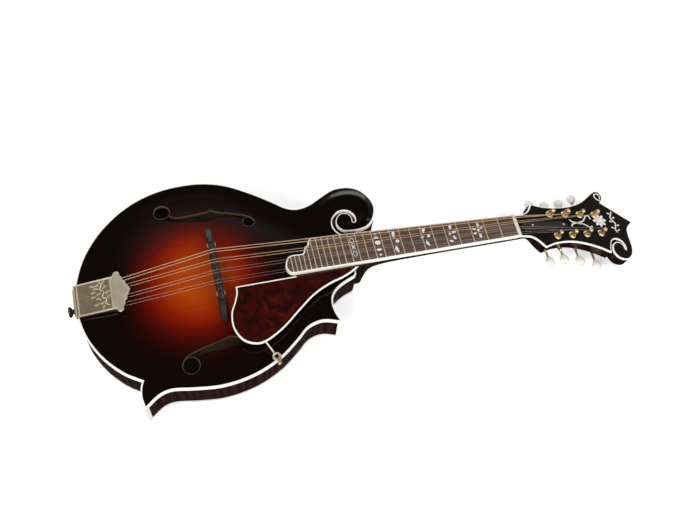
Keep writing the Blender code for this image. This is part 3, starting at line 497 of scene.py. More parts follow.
class Paint:
    """A material's node tree: a Principled shader and whatever feeds it."""

    def __init__(
        self, name, colour=(0.5, 0.5, 0.5), rough=0.4, metal=0.0, coat=0.0, coat_rough=0.05, ior=1.45
    ):
        self.mat = bpy.data.materials.new(name)
        self.mat.use_nodes = True
        self.mat.diffuse_color = (*colour, 1)
        self.tree = self.mat.node_tree
        self.shader = self.tree.nodes["Principled BSDF"]
        set_inputs(self.shader, Base_Color=(*colour, 1), Roughness=rough, Metallic=metal, IOR=ior)
        set_inputs(self.shader, Coat_Weight=coat, Coat_Roughness=coat_rough)
        self.place = self.node("ShaderNodeTexCoord").outputs["Object"]

    def node(self, kind, **values):
        made = self.tree.nodes.new(kind)
        for key, value in values.items():
            setattr(made, key, value)
        return made

    def link(self, a, b):
        self.tree.links.new(a, b)

    def mapped(self, made, scale):
        """Feeds a texture the object's own coordinates, scaled on each axis."""
        mapping = self.node("ShaderNodeMapping")
        set_inputs(mapping, Scale=scale)
        self.link(self.place, mapping.inputs["Vector"])
        self.link(mapping.outputs["Vector"], made.inputs["Vector"])
        return made.outputs["Fac"]

    def noise(self, scale, detail, rough=0.55, stretch=(1, 1, 1), distortion=0.0):
        made = self.node("ShaderNodeTexNoise")
        set_inputs(made, Scale=scale, Detail=detail, Roughness=rough, Distortion=distortion)
        return self.mapped(made, stretch)

    def wave(self, scale, direction, distortion, detail, stretch):
        made = self.node("ShaderNodeTexWave", bands_direction=direction)
        set_inputs(made, Scale=scale, Distortion=distortion, Detail=detail, Detail_Scale=1.5)
        return self.mapped(made, stretch)

    def ramp(self, fac, stops):
        made = self.node("ShaderNodeValToRGB")
        set_stops(made.color_ramp, stops)
        self.link(fac, made.inputs["Fac"])
        return made.outputs["Color"]

    def two(self, fac, low, high):
        """A ramp between two colours over the middle of a noise."""
        return self.ramp(fac, [(0.3, low), (0.7, high)])

    def span(self, fac, low, high, start=0.0, end=1.0):
        made = self.node("ShaderNodeMapRange")
        set_inputs(made, From_Min=start, From_Max=end, To_Min=low, To_Max=high)
        self.link(fac, made.inputs["Value"])
        return made.outputs["Result"]

    def math(self, operation, a, b):
        made = self.node("ShaderNodeMath", operation=operation)
        self.link(a, made.inputs[0])
        self.link(b, made.inputs[1])
        return made.outputs[0]

    def mix(self, a, b, fac, blend="MIX"):
        made = self.node("ShaderNodeMix", data_type="RGBA", blend_type=blend)
        for socket, value in ((made.inputs["Factor"], fac), (made.inputs[6], a), (made.inputs[7], b)):
            if isinstance(value, (int, float)):
                socket.default_value = value
            elif isinstance(value, tuple):
                socket.default_value = (*value, 1)
            else:
                self.link(value, socket)
        return made.outputs[2]

    def colour(self, value):
        self.link(value, self.shader.inputs["Base Color"])
        return self

    def rough(self, value):
        self.link(value, self.shader.inputs["Roughness"])
        return self

    def bump(self, height, depth, strength):
        made = self.node("ShaderNodeBump")
        set_inputs(made, Distance=depth * MM, Strength=strength)
        self.link(height, made.inputs["Height"])
        self.link(made.outputs["Normal"], self.shader.inputs["Normal"])
        return self


def burst(name, centre, reach, stops):
    """A shaded lacquer: colour by distance from a centre, over fine straight grain."""
    p = Paint(name, rough=0.12, coat=0.25, coat_rough=0.03, ior=1.3)
    moved = p.node("ShaderNodeVectorMath", operation="SUBTRACT")
    p.link(p.place, moved.inputs[0])
    moved.inputs[1].default_value = centre
    away = p.node("ShaderNodeVectorMath", operation="MULTIPLY")
    p.link(moved.outputs[0], away.inputs[0])
    away.inputs[1].default_value = (1 / reach, 1 / (1.03 * reach), 0)
    length = p.node("ShaderNodeVectorMath", operation="LENGTH")
    p.link(away.outputs[0], length.inputs[0])
    wobble = p.span(p.noise(16, 2, stretch=(1, 1, 0)), -0.02, 0.02)
    shade = p.ramp(p.math("ADD", length.outputs["Value"], wobble), stops)
    wave = p.wave(330, "Y", 1.0, 2, stretch=(0.1, 1, 0))
    lines = p.ramp(wave, [(0.0, (0.84, 0.80, 0.78)), (0.7, (1.05, 1.05, 1.05))])
    fibre = p.two(p.noise(600, 3, 0.6, stretch=(0.03, 1, 0.2)), (0.9, 0.88, 0.88), (1.1, 1.1, 1.1))
    p.colour(p.mix(p.mix(shade, lines, 1.0, "MULTIPLY"), fibre, 1.0, "MULTIPLY"))
    p.rough(p.span(p.noise(30, 3), 0.08, 0.16))
    p.bump(p.noise(90, 2, stretch=(0.3, 1, 1)), 0.02, 0.12)
    return p.mat


def flamed(name, dark, light, stretch):
    rough = 0.17
    p = Paint(name, rough=rough, coat=0.2, coat_rough=0.04, ior=1.28)
    flame = p.wave(34, "X", 5.5, 3, stretch=stretch)
    cloud = p.noise(18, 3)
    fac = p.math("MULTIPLY", flame, p.span(cloud, 0.4, 1.1, 0.3, 0.7))
    p.colour(p.ramp(fac, [(0.0, dark), (0.9, light)]))
    p.rough(p.span(cloud, rough - 0.05, rough + 0.06))
    p.bump(p.noise(80, 2), 0.03, 0.12)
    return p.mat


def streaked(name, colour, rough, scale, detail, stretch, low, high, depth, strength):
    """Bare wood or bone: streaks between two colours, raised as well as tinted."""
    p = Paint(name, colour, rough)
    streak = p.noise(scale, detail, stretch=stretch)
    p.colour(p.two(streak, low, high))
    p.bump(streak, depth, strength)
    return p.mat


def sawn(name, colour):
    return streaked(
        name, colour, 0.5, 240, 4, (0.1, 1, 1), scaled(colour, 0.7), scaled(colour, 1.15), 0.05, 0.3
    )


def ivoroid(name, colour):
    p = Paint(name, rough=0.25, coat=0.3, coat_rough=0.05)
    streak = p.wave(180, "Z", 3.0, 3, stretch=(0.4, 0.4, 1))
    cloud = p.noise(22, 4)
    base = p.two(cloud, scaled(colour, 0.95), colour)
    p.colour(p.mix(base, (0.82, 0.75, 0.58), p.span(streak, 0.0, 0.09)))
    p.rough(p.span(cloud, 0.2, 0.34))
    return p.mat


def rosewood(name):
    p = Paint(name, rough=0.45, ior=1.4)
    long_grain = p.noise(170, 6, 0.7, stretch=(0.035, 1, 0.3), distortion=0.6)
    pores = p.noise(900, 2, 0.5, stretch=(0.05, 1, 1))
    browns = [(0.3, (0.045, 0.024, 0.018)), (0.5, (0.105, 0.058, 0.044)), (0.72, (0.17, 0.10, 0.078))]
    base = p.ramp(long_grain, browns)
    p.colour(p.mix(base, (0.012, 0.006, 0.004), p.span(pores, 0.0, 0.75, 0.55, 0.75)))
    p.rough(p.span(long_grain, 0.36, 0.58))
    p.bump(pores, 0.08, 0.4)
    return p.mat


def ebony(name, rough):
    p = Paint(name, rough=rough, coat_rough=0.04, ior=1.4)
    streak = p.noise(200, 5, 0.6, stretch=(0.05, 1, 1))
    p.colour(p.ramp(streak, [(0.3, (0.008, 0.007, 0.006)), (0.75, (0.024, 0.019, 0.016))]))
    p.rough(p.span(streak, rough - 0.08, rough + 0.1))
    p.bump(streak, 0.05, 0.25)
    return p.mat


def lacquer(name, colour, coat, ior):
    p = Paint(name, rough=0.12, coat=coat, coat_rough=0.03, ior=ior)
    cloud = p.noise(25, 4)
    p.colour(p.two(cloud, colour, scaled(colour, 1.7)))
    p.rough(p.span(p.noise(60, 3), 0.08, 0.18))
    p.bump(p.noise(50, 2), 0.02, 0.1)
    return p.mat


def pearl(name, tint, figure, calm):
    p = Paint(name, rough=0.16, coat=0.5, coat_rough=0.04)
    swirl = p.noise(figure, 5, 0.6, distortion=2.2)
    base = p.ramp(swirl, [
        (0.28, (0.42, 0.50, 0.50)), (0.42, tint), (0.52, (0.70, 0.62, 0.66)), (0.62, (0.86, 0.86, 0.80)),
        (0.74, (0.50, 0.60, 0.55)),
    ])
    p.colour(p.mix(base, tint, calm))
    p.rough(p.span(swirl, 0.1, 0.25))
    return p.mat


def metal(name, colour, rough, tarnish, worn, brushed=None):
    p = Paint(name, colour, rough, 1.0)
    cloud = p.noise(160, 5, 0.65)
    blotch = p.noise(38, 4, 0.6)
    dirt = p.span(p.math("MULTIPLY", cloud, blotch), 0.0, worn, 0.18, 0.42)
    p.colour(p.mix(colour, tarnish, dirt))
    if brushed:
        scratch = p.noise(1400, 2, 0.5, stretch=brushed)
        p.rough(p.math("ADD", p.span(blotch, rough - 0.06, rough + 0.12), p.span(scratch, -0.06, 0.08)))
        p.bump(scratch, 0.02, 0.35)
    else:
        p.rough(p.span(blotch, max(0.05, rough - 0.08), rough + 0.14))
        p.bump(cloud, 0.02, 0.2)
    return p.mat


def wound(name, colour, core):
    """Fine winding along the string, drawn across its length; the darker core colour between the turns is
    painted shade in the grooves.
    """
    p = Paint(name, colour, 0.34, 1.0)
    turns = p.wave(1150, "X", 0.0, 0, stretch=(1, 0.02, 0.02))
    # core: the darker colour laid between the turns, painted shade in the grooves
    p.colour(p.mix(colour, core, p.span(turns, 0.75, 0.0, 0.0, 0.5)))
    p.rough(p.span(p.noise(80, 3), 0.26, 0.44))
    p.bump(turns, 0.12, 0.9)
    return p.mat


def tortoise(name):
    p = Paint(name, rough=0.14, coat=0.4, coat_rough=0.03, ior=1.4)
    blot = p.noise(52, 5, 0.66, distortion=1.2)
    speck = p.noise(120, 4, 0.6)
    base = p.ramp(blot, [
        (0.34, (0.007, 0.0008, 0.0008)), (0.47, (0.024, 0.0012, 0.0006)), (0.6, (0.046, 0.0022, 0.0006)),
        (0.78, (0.10, 0.0080, 0.0015)),
    ])
    p.colour(p.mix(base, (0.012, 0.002, 0.002), p.span(speck, 0.0, 0.7, 0.5, 0.68)))
    return p.mat


BURST_STOPS = [
    (0.0, (0.40, 0.056, 0.003)), (0.20, (0.39, 0.053, 0.003)), (0.30, (0.31, 0.031, 0.001)),
    (0.39, (0.23, 0.0135, 0.0004)), (0.44, (0.19, 0.0085, 0.0003)), (0.505, (0.110, 0.0038, 0.0003)),
    (0.61, (0.044, 0.0016, 0.0002)), (0.70, (0.016, 0.0010, 0.0003)), (0.79, (0.0070, 0.0011, 0.0006)),
    (0.88, (0.0032, 0.0012, 0.0008)),
]
M = {
    "top": burst("spruce_burst", (-0.021, -0.002, 0), 0.115, BURST_STOPS),
    "back": flamed("maple_back", (0.010, 0.0025, 0.002), (0.055, 0.014, 0.007), (0.15, 1, 0.1)),
    "rim": flamed("maple_rim", (0.010, 0.0030, 0.0028), (0.040, 0.0105, 0.0095), (1, 1, 0.12)),
    "neck": flamed("maple_neck", (0.006, 0.0018, 0.0015), (0.024, 0.0066, 0.0042), (1, 0.2, 0.2)),
    "inside": streaked(
        "maple_inside", (0.5, 0.5, 0.5), 0.6, 60, 5, (0.08, 1, 1), (0.085, 0.054, 0.030),
        (0.135, 0.090, 0.052), 0.1, 0.3,
    ),
    "cut": sawn("spruce_cut", (0.13, 0.078, 0.04)),
    "eye": sawn("pale_edge", (0.16, 0.11, 0.07)),
    "ivoroid": ivoroid("ivoroid", (0.96, 0.935, 0.87)),
    "board": rosewood("rosewood"),
    "ebony": ebony("ebony", 0.38),
    "black": lacquer("black_lacquer", (0.0034, 0.0018, 0.0012), 0.2, 1.28),
    "face": lacquer("headstock_lacquer", (0.005, 0.0028, 0.002), 0.0, 1.16),
    "pearl": pearl("pearl", (0.80, 0.83, 0.82), 110, 0.25),
    "button": pearl("button_pearl", (0.90, 0.87, 0.76), 26, 0.75),
    "gold": metal("gold_plate", (1.0, 0.77, 0.40), 0.29, (0.46, 0.29, 0.11), 0.28),
    "bracket": metal("bracket_plate", (1.0, 0.90, 0.64), 0.46, (0.6, 0.46, 0.24), 0.2),
    "fret": metal("fret_wire", (0.92, 0.86, 0.72), 0.42, (0.55, 0.47, 0.34), 0.2),
    "cover": metal("aged_plate", (0.56, 0.46, 0.32), 0.36, (0.22, 0.15, 0.08), 0.5, (0.06, 1, 1)),
    "band": metal("pale_plate", (0.95, 0.84, 0.62), 0.4, (0.5, 0.38, 0.22), 0.25),
    "steel": metal("steel", (0.46, 0.37, 0.31), 0.34, (0.25, 0.2, 0.15), 0.2),
    "nickel": metal("nickel", (0.90, 0.87, 0.80), 0.3, (0.45, 0.4, 0.3), 0.2),
    "wheel": metal("wheel_plate", (0.92, 0.82, 0.62), 0.4, (0.5, 0.4, 0.26), 0.2),
    # The bronze winding's second colour is painted shade between its turns
    "bronze": wound("bronze_winding", (0.95, 0.70, 0.42), (0.42, 0.26, 0.12)),
    "bone": streaked(
        "bone", (0.84, 0.80, 0.68), 0.35, 90, 4, (1, 0.15, 1), (0.76, 0.71, 0.58), (0.88, 0.85, 0.75),
        0.03, 0.2,
    ),
    "tortoise": tortoise("tortoise"),
    # Painted shade for the inside of the tuner posts' string holes
    "felt": Paint("painted_hole_shade", (0.01, 0.01, 0.01), 0.7).mat,
}


# ------------------------ body
EDGE = plate_outline()
RIDGE = smooth(SCROLL_RIDGE, 6)


def relief(points):
    """Height of the top above its edge: the arch, a shallow channel inside the edge, the scroll's ridge."""
    edge, _ = distance_to(points, EDGE)
    height = arch(points[:, 0], points[:, 1])
    height -= 0.45 * ramp(edge, 0, 7) * (1 - ramp(edge, 7, 20)) * (1 - ramp(height, 1.5, 4))
    near, share = distance_to(points, RIDGE, closed=False)
    rise = 3.3 * ramp(share, 0.08, 0.42) * (1 - 0.55 * ramp(share, 0.6, 1.0))
    width = 13 - 6 * ramp(share, 0.55, 1.0)
    height += rise * (1 - ramp(near, 0, width)) * ramp(edge, 0.3, 5)
    return height


def back_low(points):
    return BACK_EDGE - BACK_ARCH * np.minimum(dome(points[:, 0], points[:, 1]), 0.955) / 0.955


def sheet(holes, spacing):
    """Flat faces over the body's outline, on a staggered grid of points."""
    low, high = np.array(EDGE).min(axis=0), np.array(EDGE).max(axis=0)
    xs, ys = np.arange(low[0], high[0], spacing), np.arange(low[1], high[1], spacing * 0.87)
    grid = np.array([(x + (spacing / 2 if j % 2 else 0), y) for j, y in enumerate(ys) for x in xs])
    grid = grid[inside(grid, EDGE)]
    keep = distance_to(grid, EDGE)[0] > spacing * 0.45
    for hole in holes:
        keep &= ~inside(grid, hole) & (distance_to(grid, hole)[0] > spacing * 0.4)
    return triangles([EDGE, *holes], grid[keep])


HOLES = []
stem = chain(*[smooth(run, 5) for run in HOLE_RUNS])
for side, (right, up) in ((1, (0, 0)), (-1, TREBLE_HOLE_SHIFT)):
    for loop in (stem, *[circle(*eye) for eye in HOLE_EYES]):
        HOLES.append([np.array((x + right, side * (y + up))) for x, y in loop])

top = Shape().skin(
    *sheet(HOLES, 3.2), relief, lambda p: arch(p[:, 0], p[:, 1]) - PLATE_THICK, lower=1, wall=2
)
piece("top_plate_carved", top, RIM, ("top", "inside", "cut"), replaces="top_plate", angle=50)
# A pale edge round the eyes of the holes
for number, hole in enumerate(HOLES):
    if number % 3:
        loop = np.array([*hole, hole[0]])
        lip = Shape().tube([(*p, z - 0.1) for p, z in zip(loop, relief(loop))], 0.2, 8)
        piece(f"hole_edge_{number}", lip, RIM, "eye", angle=70)
back = Shape().skin(*sheet([], 4.0), lambda p: back_low(p) + PLATE_THICK, back_low, upper=1)
piece("back_plate_carved", back, RIM, ("back", "inside"), replaces="back_plate", angle=50)


def box_section(inner, outer, first, second):
    return [(inner, first), (outer, first), (outer, second), (inner, second)]


def edge_ring(section):
    """A section swept round the plate, drawn in where it passes through the scroll's slot."""
    base = np.array(EDGE)
    thin = 0.52 + 0.48 * ramp(np.hypot(*(base - SLOT_CENTRE).T), 14.5, 19)
    swept = Shape().ring(EDGE, section)
    for n, (x, y, z) in enumerate(swept.verts):
        (bx, by), share = base[n % len(base)], thin[n % len(base)]
        swept.verts[n] = (bx + (x - bx) * share, by + (y - by) * share, z)
    return swept


TOP_SECTION = [(0.0, 0.05), (1.3, 0.05), (1.62, -0.04), (1.8, -0.35), (1.8, -4.9), (0.0, -4.9)]
BACK_SECTION = [(d, BACK_EDGE - z) for d, z in TOP_SECTION]
for node, section in (("top_binding", TOP_SECTION), ("back_binding", BACK_SECTION)):
    piece(f"{node}_ring", edge_ring(section), RIM, "ivoroid", replaces=node, angle=40)
# A thin dark line between each binding and the rim
for name, low, high in (("purfling_top", -5.15, -4.9), ("purfling_back", -38.96, -38.7)):
    piece(name, edge_ring(box_section(1.0, 1.78, high, low)), RIM, "black", angle=40)
rim = edge_ring(box_section(-1.5, 1.74, -4.95, -38.9))
piece("rim_ribs", rim, RIM, "rim", replaces="rim", angle=40)
for name, tip in (("upper", UPPER_POINT[0]), ("lower", LOWER_POINT[-1])):
    loop = [p for p in offset(EDGE, 1.84) if np.linalg.norm(p - np.array(tip)) < 4.7]
    cap = prism(loop, -39.0, -4.8)
    piece(f"point_cap_{name}_ivory", cap, RIM, "ivoroid", replaces=f"point_cap_{name}", bevel=0.2)

# ------------------------ neck and its heel cap
cap = smooth([(-201.9, -11), (-190, -9.5), (-182, -5), (-180, 0), (-182, 5), (-190, 9.5), (-201.9, 11)], 6)
piece("heel_cap_ivory", prism(cap, -45.6, -43.95), RIM, "ivoroid", replaces="heel_cap", bevel=0.35)


HEEL_LOW = -43.9


def under_board(x):
    return board_height(x) - 5.25


def neck_rings():
    """Half-round sections from the headstock to the body; the last four flare into the heel."""
    stations = [(28, -20, -29.4, 8, 1.0), (16, -15.5, -27.2, 12, 1.0), (3, -9.4, -24.2, 14.2, 0.9)]
    for x, depth, squareness, flare in (
        (-20, 20.8, 0.9, 0), (-60, 21.3, 0.9, 0), (-100, 22, 0.9, 0), (-150, 23.8, 0.85, 0),
        (-168, 26, 0.8, 0), (-180, 30, 0.7, 0), (-187, 36, 0.55, 1.0), (-191.5, 47, 0.42, 3.2),
        (-194.5, 62, 0.34, 4.4), (-201.9, 62, 0.32, 4.6),
    ):
        low = max(board_height(x) - depth, HEEL_LOW)
        stations.append((x, under_board(x), low, board_half(x) + flare, squareness))
    rings = []
    for x, top_z, low_z, half, squareness in smooth([np.array(s) for s in stations], 5):
        deep = max(low_z, HEEL_LOW) - top_z
        ring = []
        for turn in np.linspace(0, math.pi, 29):
            across, down = math.cos(turn), math.sin(turn)
            y = half * math.copysign(abs(across) ** squareness, across)
            ring.append((x, y, top_z + deep * down**squareness))
        rings.append(ring)
    return rings


def riser(stations, y, low, high):
    """A block from the arch up to the fretboard's underside, outlined in x and z."""
    under = [(x, float(arch(x, y)) + 0.2) for x in stations]
    over = [(x, under_board(x)) for x in (stations[-1], stations[0])]
    return prism([*under, *over], low, high)


neck = Shape().loft(neck_rings())
block = riser((-201, -206, -214, -224, -234, -246), 0, -16.5, 16.5)
block.verts = [(x, -y, z) for x, z, y in block.verts]
piece("neck_shaft", neck.join(block), RIM, "neck", replaces="neck", angle=45)
# A black block in the gap under the fretboard's overhang: painted shade standing in for the shadow there
overhang_shade = riser((-246, -256, -268, -278), -9, 4, 18)
overhang_shade.verts = [(x, -y, z) for x, z, y in overhang_shade.verts]
piece("board_overhang_shade", overhang_shade, RIM, "black")

# ------------------------ headstock
HEAD_EDGE = head_outline()
core = prism(offset(HEAD_EDGE, 1.5), -14.5, -2.0)
core.verts = [(s, v, n if n > -10 else n + 9.5 * float(1 - ramp(s, 5, 27))) for s, v, n in core.verts]
piece("headstock_core", core, HEAD, "neck", bevel=0.8)
piece("headstock_face", prism(HEAD_EDGE, -2.0, 0.0), HEAD, "face", replaces="headstock_veneer")
section = [(0, 0.03), (0.95, 0.03), (1.2, -0.08), (1.3, -0.3), (1.52, -2.05), (0, -2.05)]
head_ring = Shape().ring(HEAD_EDGE, section)
piece("headstock_edge", head_ring, HEAD, "ivoroid", replaces="headstock_binding", angle=40)

# ------------------------ fretboard and nut
BOARD_EDGE = board_path()
WOOD_EDGE = offset(BOARD_EDGE, -1.5, closed=False)
piece("fretboard_wood", prism(WOOD_EDGE, -5.2, 0), BOARD, "board", replaces="fretboard", angle=25)
section = [(-1.5, 0.0), (-0.35, 0.0), (-0.05, -0.14), (0.0, -0.45), (0.0, -5.2), (-1.5, -5.2)]
side_ring = Shape().ring(BOARD_EDGE, section, closed=False)
piece("fretboard_edge", side_ring, BOARD, "ivoroid", replaces="fretboard_binding", angle=40)


def crossing(x, loop):
    found = []
    for (x0, y0), (x1, y1) in zip(loop, [*loop[1:], loop[0]]):
        if (x0 - x) * (x1 - x) < 0:
            found.append(y0 + (y1 - y0) * (x - x0) / (x1 - x0))
    return min(found), max(found)


def string_slots(places, share, edge):
    """(y, 1) on the floor of each string's slot and (y, 0) beside it."""
    found = []
    for k, place in enumerate(places):
        for side in (1, -1):
            y, r = side * place, STRING_RADII[k if side > 0 else 7 - k]
            found += [(y - r - edge, 0), (y - r * share, 1), (y + r * share, 1), (y + r + edge, 0)]
    return found


frets = Shape()
CROWN = [(0.62, 0.02), (0.6, 0.35), (0.42, 0.78), (0.15, 0.98)]
CROWN += [(-a, b) for a, b in CROWN[::-1]]
for n in range(1, 27):
    x = fret_x(n)
    over = 1.2 if n < 20 else 0.4  # how far a wire runs over the binding
    low, high = crossing(x, WOOD_EDGE)
    low, high = low - over, high + over
    ends = ((low, 0.35), (low + 0.5, 0.85), (low + 1.0, 1), (high - 1.0, 1), (high - 0.5, 0.85), (high, 0.35))
    frets.loft([[(x + a, y, b * scale) for a, b in CROWN] for y, scale in ends])
piece("fret_wires", frets, BOARD, "fret", angle=50)

NUT_SECTION = [(0.3, 0.9), (1.1, 0.95), (3.4, 0.25), (5.1, -0.65), (5.3, -1.0)]
rings = []
for y, floor in sorted([(-NUT_HALF, 0), (NUT_HALF, 0), *string_slots(STRINGS_AT_NUT, 1, 0.12)]):
    crown = [(x, y, z - 0.28 * floor) for x, z in NUT_SECTION]
    rings.append([(0.3, y, -4.8), *crown, (5.3, y, -3.6)])
piece("nut_bone", Shape().loft(rings), BOARD, "bone", replaces="nut", angle=30)


# ------------------------ inlays
def inlay_section(inner, outer, high):
    return [(inner, -0.3), (inner, high), (outer, high), (outer, -0.3)]


BOARD_INLAYS = [
    # third fret: a four-petal flower
    oval((-47, 0.4), 3.4, 3.4), leaf((-46, 7.4), 7, 3.2, 84), leaf((-42.6, 3.4), 5, 2.6, 30),
    leaf((-52, 3), 5.6, 2.6, -28), leaf((-46.6, -7), 7, 3.2, -86), leaf((-52, -3), 5, 2.4, 24),
    # fifth fret
    leaf((-80, 9.6), 7.6, 3.6, 78, 0.6), leaf((-77.4, 2.2), 6, 3.2, 20, 0.5),
    leaf((-78.4, -4.6), 6.4, 3.2, -64, -0.5), leaf((-83.6, -8.6), 6, 2.8, -20), oval((-83, 1), 3, 3),
    # seventh fret
    leaf((-113, 10), 8, 3.4, 62, 0.8), oval((-109.4, 2), 4.2, 3.6), leaf((-112.4, -7), 8.4, 3.4, -70, -0.8),
    leaf((-117.4, 1.4), 5.4, 2.4, 10),
    # tenth fret
    leaf((-150, 10), 10.5, 4, 80, 0.9), oval((-148, 1), 4.6, 4), leaf((-150.4, -9.2), 10, 3.8, -80, -0.9),
    # twelfth fret
    oval((-172, 14.2), 3, 2.6), leaf((-172, 9), 6, 3.2, 0), oval((-171.5, 2.4), 6.4, 5.6),
    leaf((-172, -6.6), 6.6, 3.4, 0), oval((-172, -13), 3.2, 2.8),
    # fifteenth fret: a bow between two thin ovals
    leaf((-201, 1.2), 7.2, 1.6, 55), leaf((-201, 1.2), 7.2, 1.6, -55),
]
for number, loop in enumerate(BOARD_INLAYS):
    name = f"board_inlay_{number + 1:02d}"
    piece(name, prism(loop, -0.3, 0.045), BOARD, "pearl", angle=60)
for label, y in (("bass", 9.6), ("treble", -7.4)):
    thin_oval = Shape().ring(oval((-201, y), 5.2, 7.4), inlay_section(-0.7, 0, 0.045))
    piece(f"board_oval_{label}", thin_oval, BOARD, "pearl", angle=60)

HEAD_INLAYS = [
    # small flourish beside the crossed branches
    leaf((107.4, -9.4), 5.6, 1.9, 130), leaf((111.6, -4.0), 6, 2.0, 20, 0.6), oval((95.6, 1.6), 7.0, 3.0, -5),
    # blossom
    oval((127.6, 5.2), 9.6, 9.4), leaf((120.8, 5.2), 7.6, 4.6, 0), leaf((134.6, 5.2), 7.4, 4.4, 0),
    leaf((127.6, 11.2), 7.0, 5.2, 90), leaf((127.6, -0.8), 7.0, 5.2, 90), leaf((122.6, 9.8), 7.0, 4.0, 135),
    leaf((122.6, 0.6), 7.0, 4.0, 45), leaf((132.6, 9.8), 7.0, 4.0, 45), leaf((132.6, 0.6), 7.0, 4.0, 135),
    # buds on the vine
    leaf((146.0, 15.0), 5.0, 2.2, 150), leaf((151.6, 8.6), 5.0, 2.2, 20), leaf((145.2, 3.4), 5.0, 2.2, 160),
    leaf((154.2, -2.6), 5.0, 2.2, 20), leaf((144.2, -5.8), 5.0, 2.2, 150), leaf((152.6, -9.4), 4.6, 2.0, 20),
]
for number, loop in enumerate(HEAD_INLAYS):
    piece(f"head_inlay_{number + 1:02d}", prism(loop, -0.3, 0.05), HEAD, "pearl", angle=60)

BRANCHES = [
    [(81, 7.2), (84.6, 3.9), (93.6, 2.1), (102.3, -0.4), (108.7, -5.1), (112.2, -8.4)],
    [(80.8, -1.9), (85.1, 1.3), (93.9, 2.9), (102.1, 5.4), (107.4, 11.2), (112.3, 12.4), (114.2, 7.1)],
    [
        (152, 17.4), (149.4, 13.4), (146.8, 9.2), (148.4, 4.6), (151.0, 0.4), (149.6, -4.2), (147.4, -8.4),
        (149.6, -13),
    ],
]
for number, line in enumerate(BRANCHES):
    strip = Shape().ring(smooth(line, 6), inlay_section(-0.9, 0.9, 0.05), closed=False)
    piece(f"head_branch_{number + 1}", strip, HEAD, "pearl", angle=60)

# White loop set into the hook
curl = smooth([
    (151.9, 26.5), (146.3, 30.3), (140.8, 34.4), (136.8, 36.7), (135.1, 40.1), (135.6, 42.8), (137.9, 44.2),
    (141.6, 44.1), (143.3, 41.4), (143.2, 38.7), (141.9, 36.7),
], 5)
curl_strip = Shape().ring(curl, inlay_section(-0.7, 0.7, 0.06), closed=False)
piece("hook_curl", curl_strip, HEAD, "ivoroid", angle=50)

# Truss rod cover and its two screws
half_bell = smooth([(7, -7.6), (24, -6.6), (42, -4.4), (58, -4.6), (66, -4.2), (74.5, 0)], 6)
bell = chain(half_bell, [(x, -y) for x, y in half_bell[::-1]])
piece("rod_cover_face", prism(bell, 0.15, 1.7), HEAD, "ebony", replaces="truss_rod_cover", bevel=0.25)
for number, (s, key) in enumerate(((21.4, "nickel"), (68.0, "gold"))):
    place = HEAD @ Matrix.Translation((s, 0, 1.7))
    screw(f"rod_cover_screw_{number + 1}", place, 1.35, key, turn=0.5 + number)

# ------------------------ tuners
TURN = math.atan(POST_DRIFT / POST_GAP)  # each row leans inward towards the headstock's tip
ALONG_Y = Matrix.Rotation(-math.pi / 2, 4, "X")
POST = [
    (0, -22.2), (2.0, -22.2), (2.6, -21.7), (2.6, 2.2), (2.45, 2.6), (2.25, 3.4), (2.2, 4.6), (2.2, 8.2),
    (2.35, 8.8), (2.6, 9.3), (2.6, 9.9), (2.4, 10.4), (1.9, 10.75), (1.1, 10.95), (0, 11.0),
]
PLATE = [
    (-15, -6.6), (10, -6.8), (35, -6.8), (60, -6.8), (77.7, -6.6), (81.2, -4), (84.4, 0.4), (81.2, 4.8),
    (77.7, 7.6), (60, 7.8), (35, 7.8), (10, 7.8), (-15, 7.6), (-18, 4.8), (-21, 0.4), (-18, -4),
]
# Stations of a button: place along its shaft, half width, half depth
BUTTON = (
    (-5.4, 2.2, 2.0), (-5.0, 2.7, 2.3), (-4.2, 3.1, 2.5), (-3.0, 4.2, 2.9), (-1.2, 5.4, 3.3), (0.8, 6.0, 3.5),
    (2.8, 5.7, 3.4), (4.6, 4.7, 3.0), (5.9, 3.3, 2.3), (6.7, 1.7, 1.3), (7.0, 0.3, 0.2),
)


def post_place(k, side):
    """Where the k-th post of a row stands on the headstock's face."""
    return POST_START + POST_GAP * k, side * (POST_ROW - POST_DRIFT * k)


def gear_loop():
    loop = []
    for k in range(14):
        for share, radius in ((0.0, 4.65), (0.1, 4.8), (0.26, 5.7), (0.5, 5.7), (0.66, 4.8), (0.8, 4.65)):
            loop.append(polar((0, 0), radius, 360 * (k + share) / 14))
    return loop


def worm_profile(reach):
    """A key's shaft: a bearing, a thread, a collar and the stem of its button."""
    thread = []
    for turns in range(11):
        y = -4.4 + 0.8 * turns
        thread += [(2.25, y), (3.02, y + 0.22), (3.02, y + 0.42), (2.25, y + 0.64)]
    return [
        (0, -7.9), (1.0, -7.9), (1.5, -7.5), (1.5, -4.8), (2.0, -4.6), *[p for p in thread if p[1] < 4.3],
        (2.0, 4.5), (1.5, 4.7), (1.5, 7.2), (2.5, 7.35), (2.5, 8.85), (1.9, 9.1), (1.55, 9.6), (1.4, 12.0),
        (1.4, reach - 5.6), (1.9, reach - 5.2), (1.9, reach - 4.4), (0, reach - 4.4),
    ]


def tuner_plate():
    """A strip with leaf-shaped ends and two ears for each worm's shaft, X along the row."""
    outline = [np.array((min(max(x, -18.0), 80.7), min(max(y, -7.0), 8.0))) for x, y in smooth_loop(PLATE, 4)]
    clean = [p for p, q in zip(outline, [outline[-1], *outline[:-1]]) if np.linalg.norm(p - q) > 0.15]
    strip = prism(clean, -15.85, -14.65, holes=[circle((POST_GAP * k, 0), 3.0, 24) for k in range(4)])
    arc = [ellipse(a, 3, 2.8) for a in np.linspace(math.pi, 2 * math.pi, 11)[1:-1]]
    for k in range(4):
        x = POST_GAP * k - WORM
        curve = [(x - 3, KEY_LEVEL), *[(x + a, KEY_LEVEL + b) for a, b in arc], (x + 3, KEY_LEVEL)]
        for low, high in ((-6.8, -5.2), (5.0, 6.6)):
            strip.join(prism([(x - 3, -15.0), *curve, (x + 3, -15.0)], low, high), (0, 2, 1))
    return strip


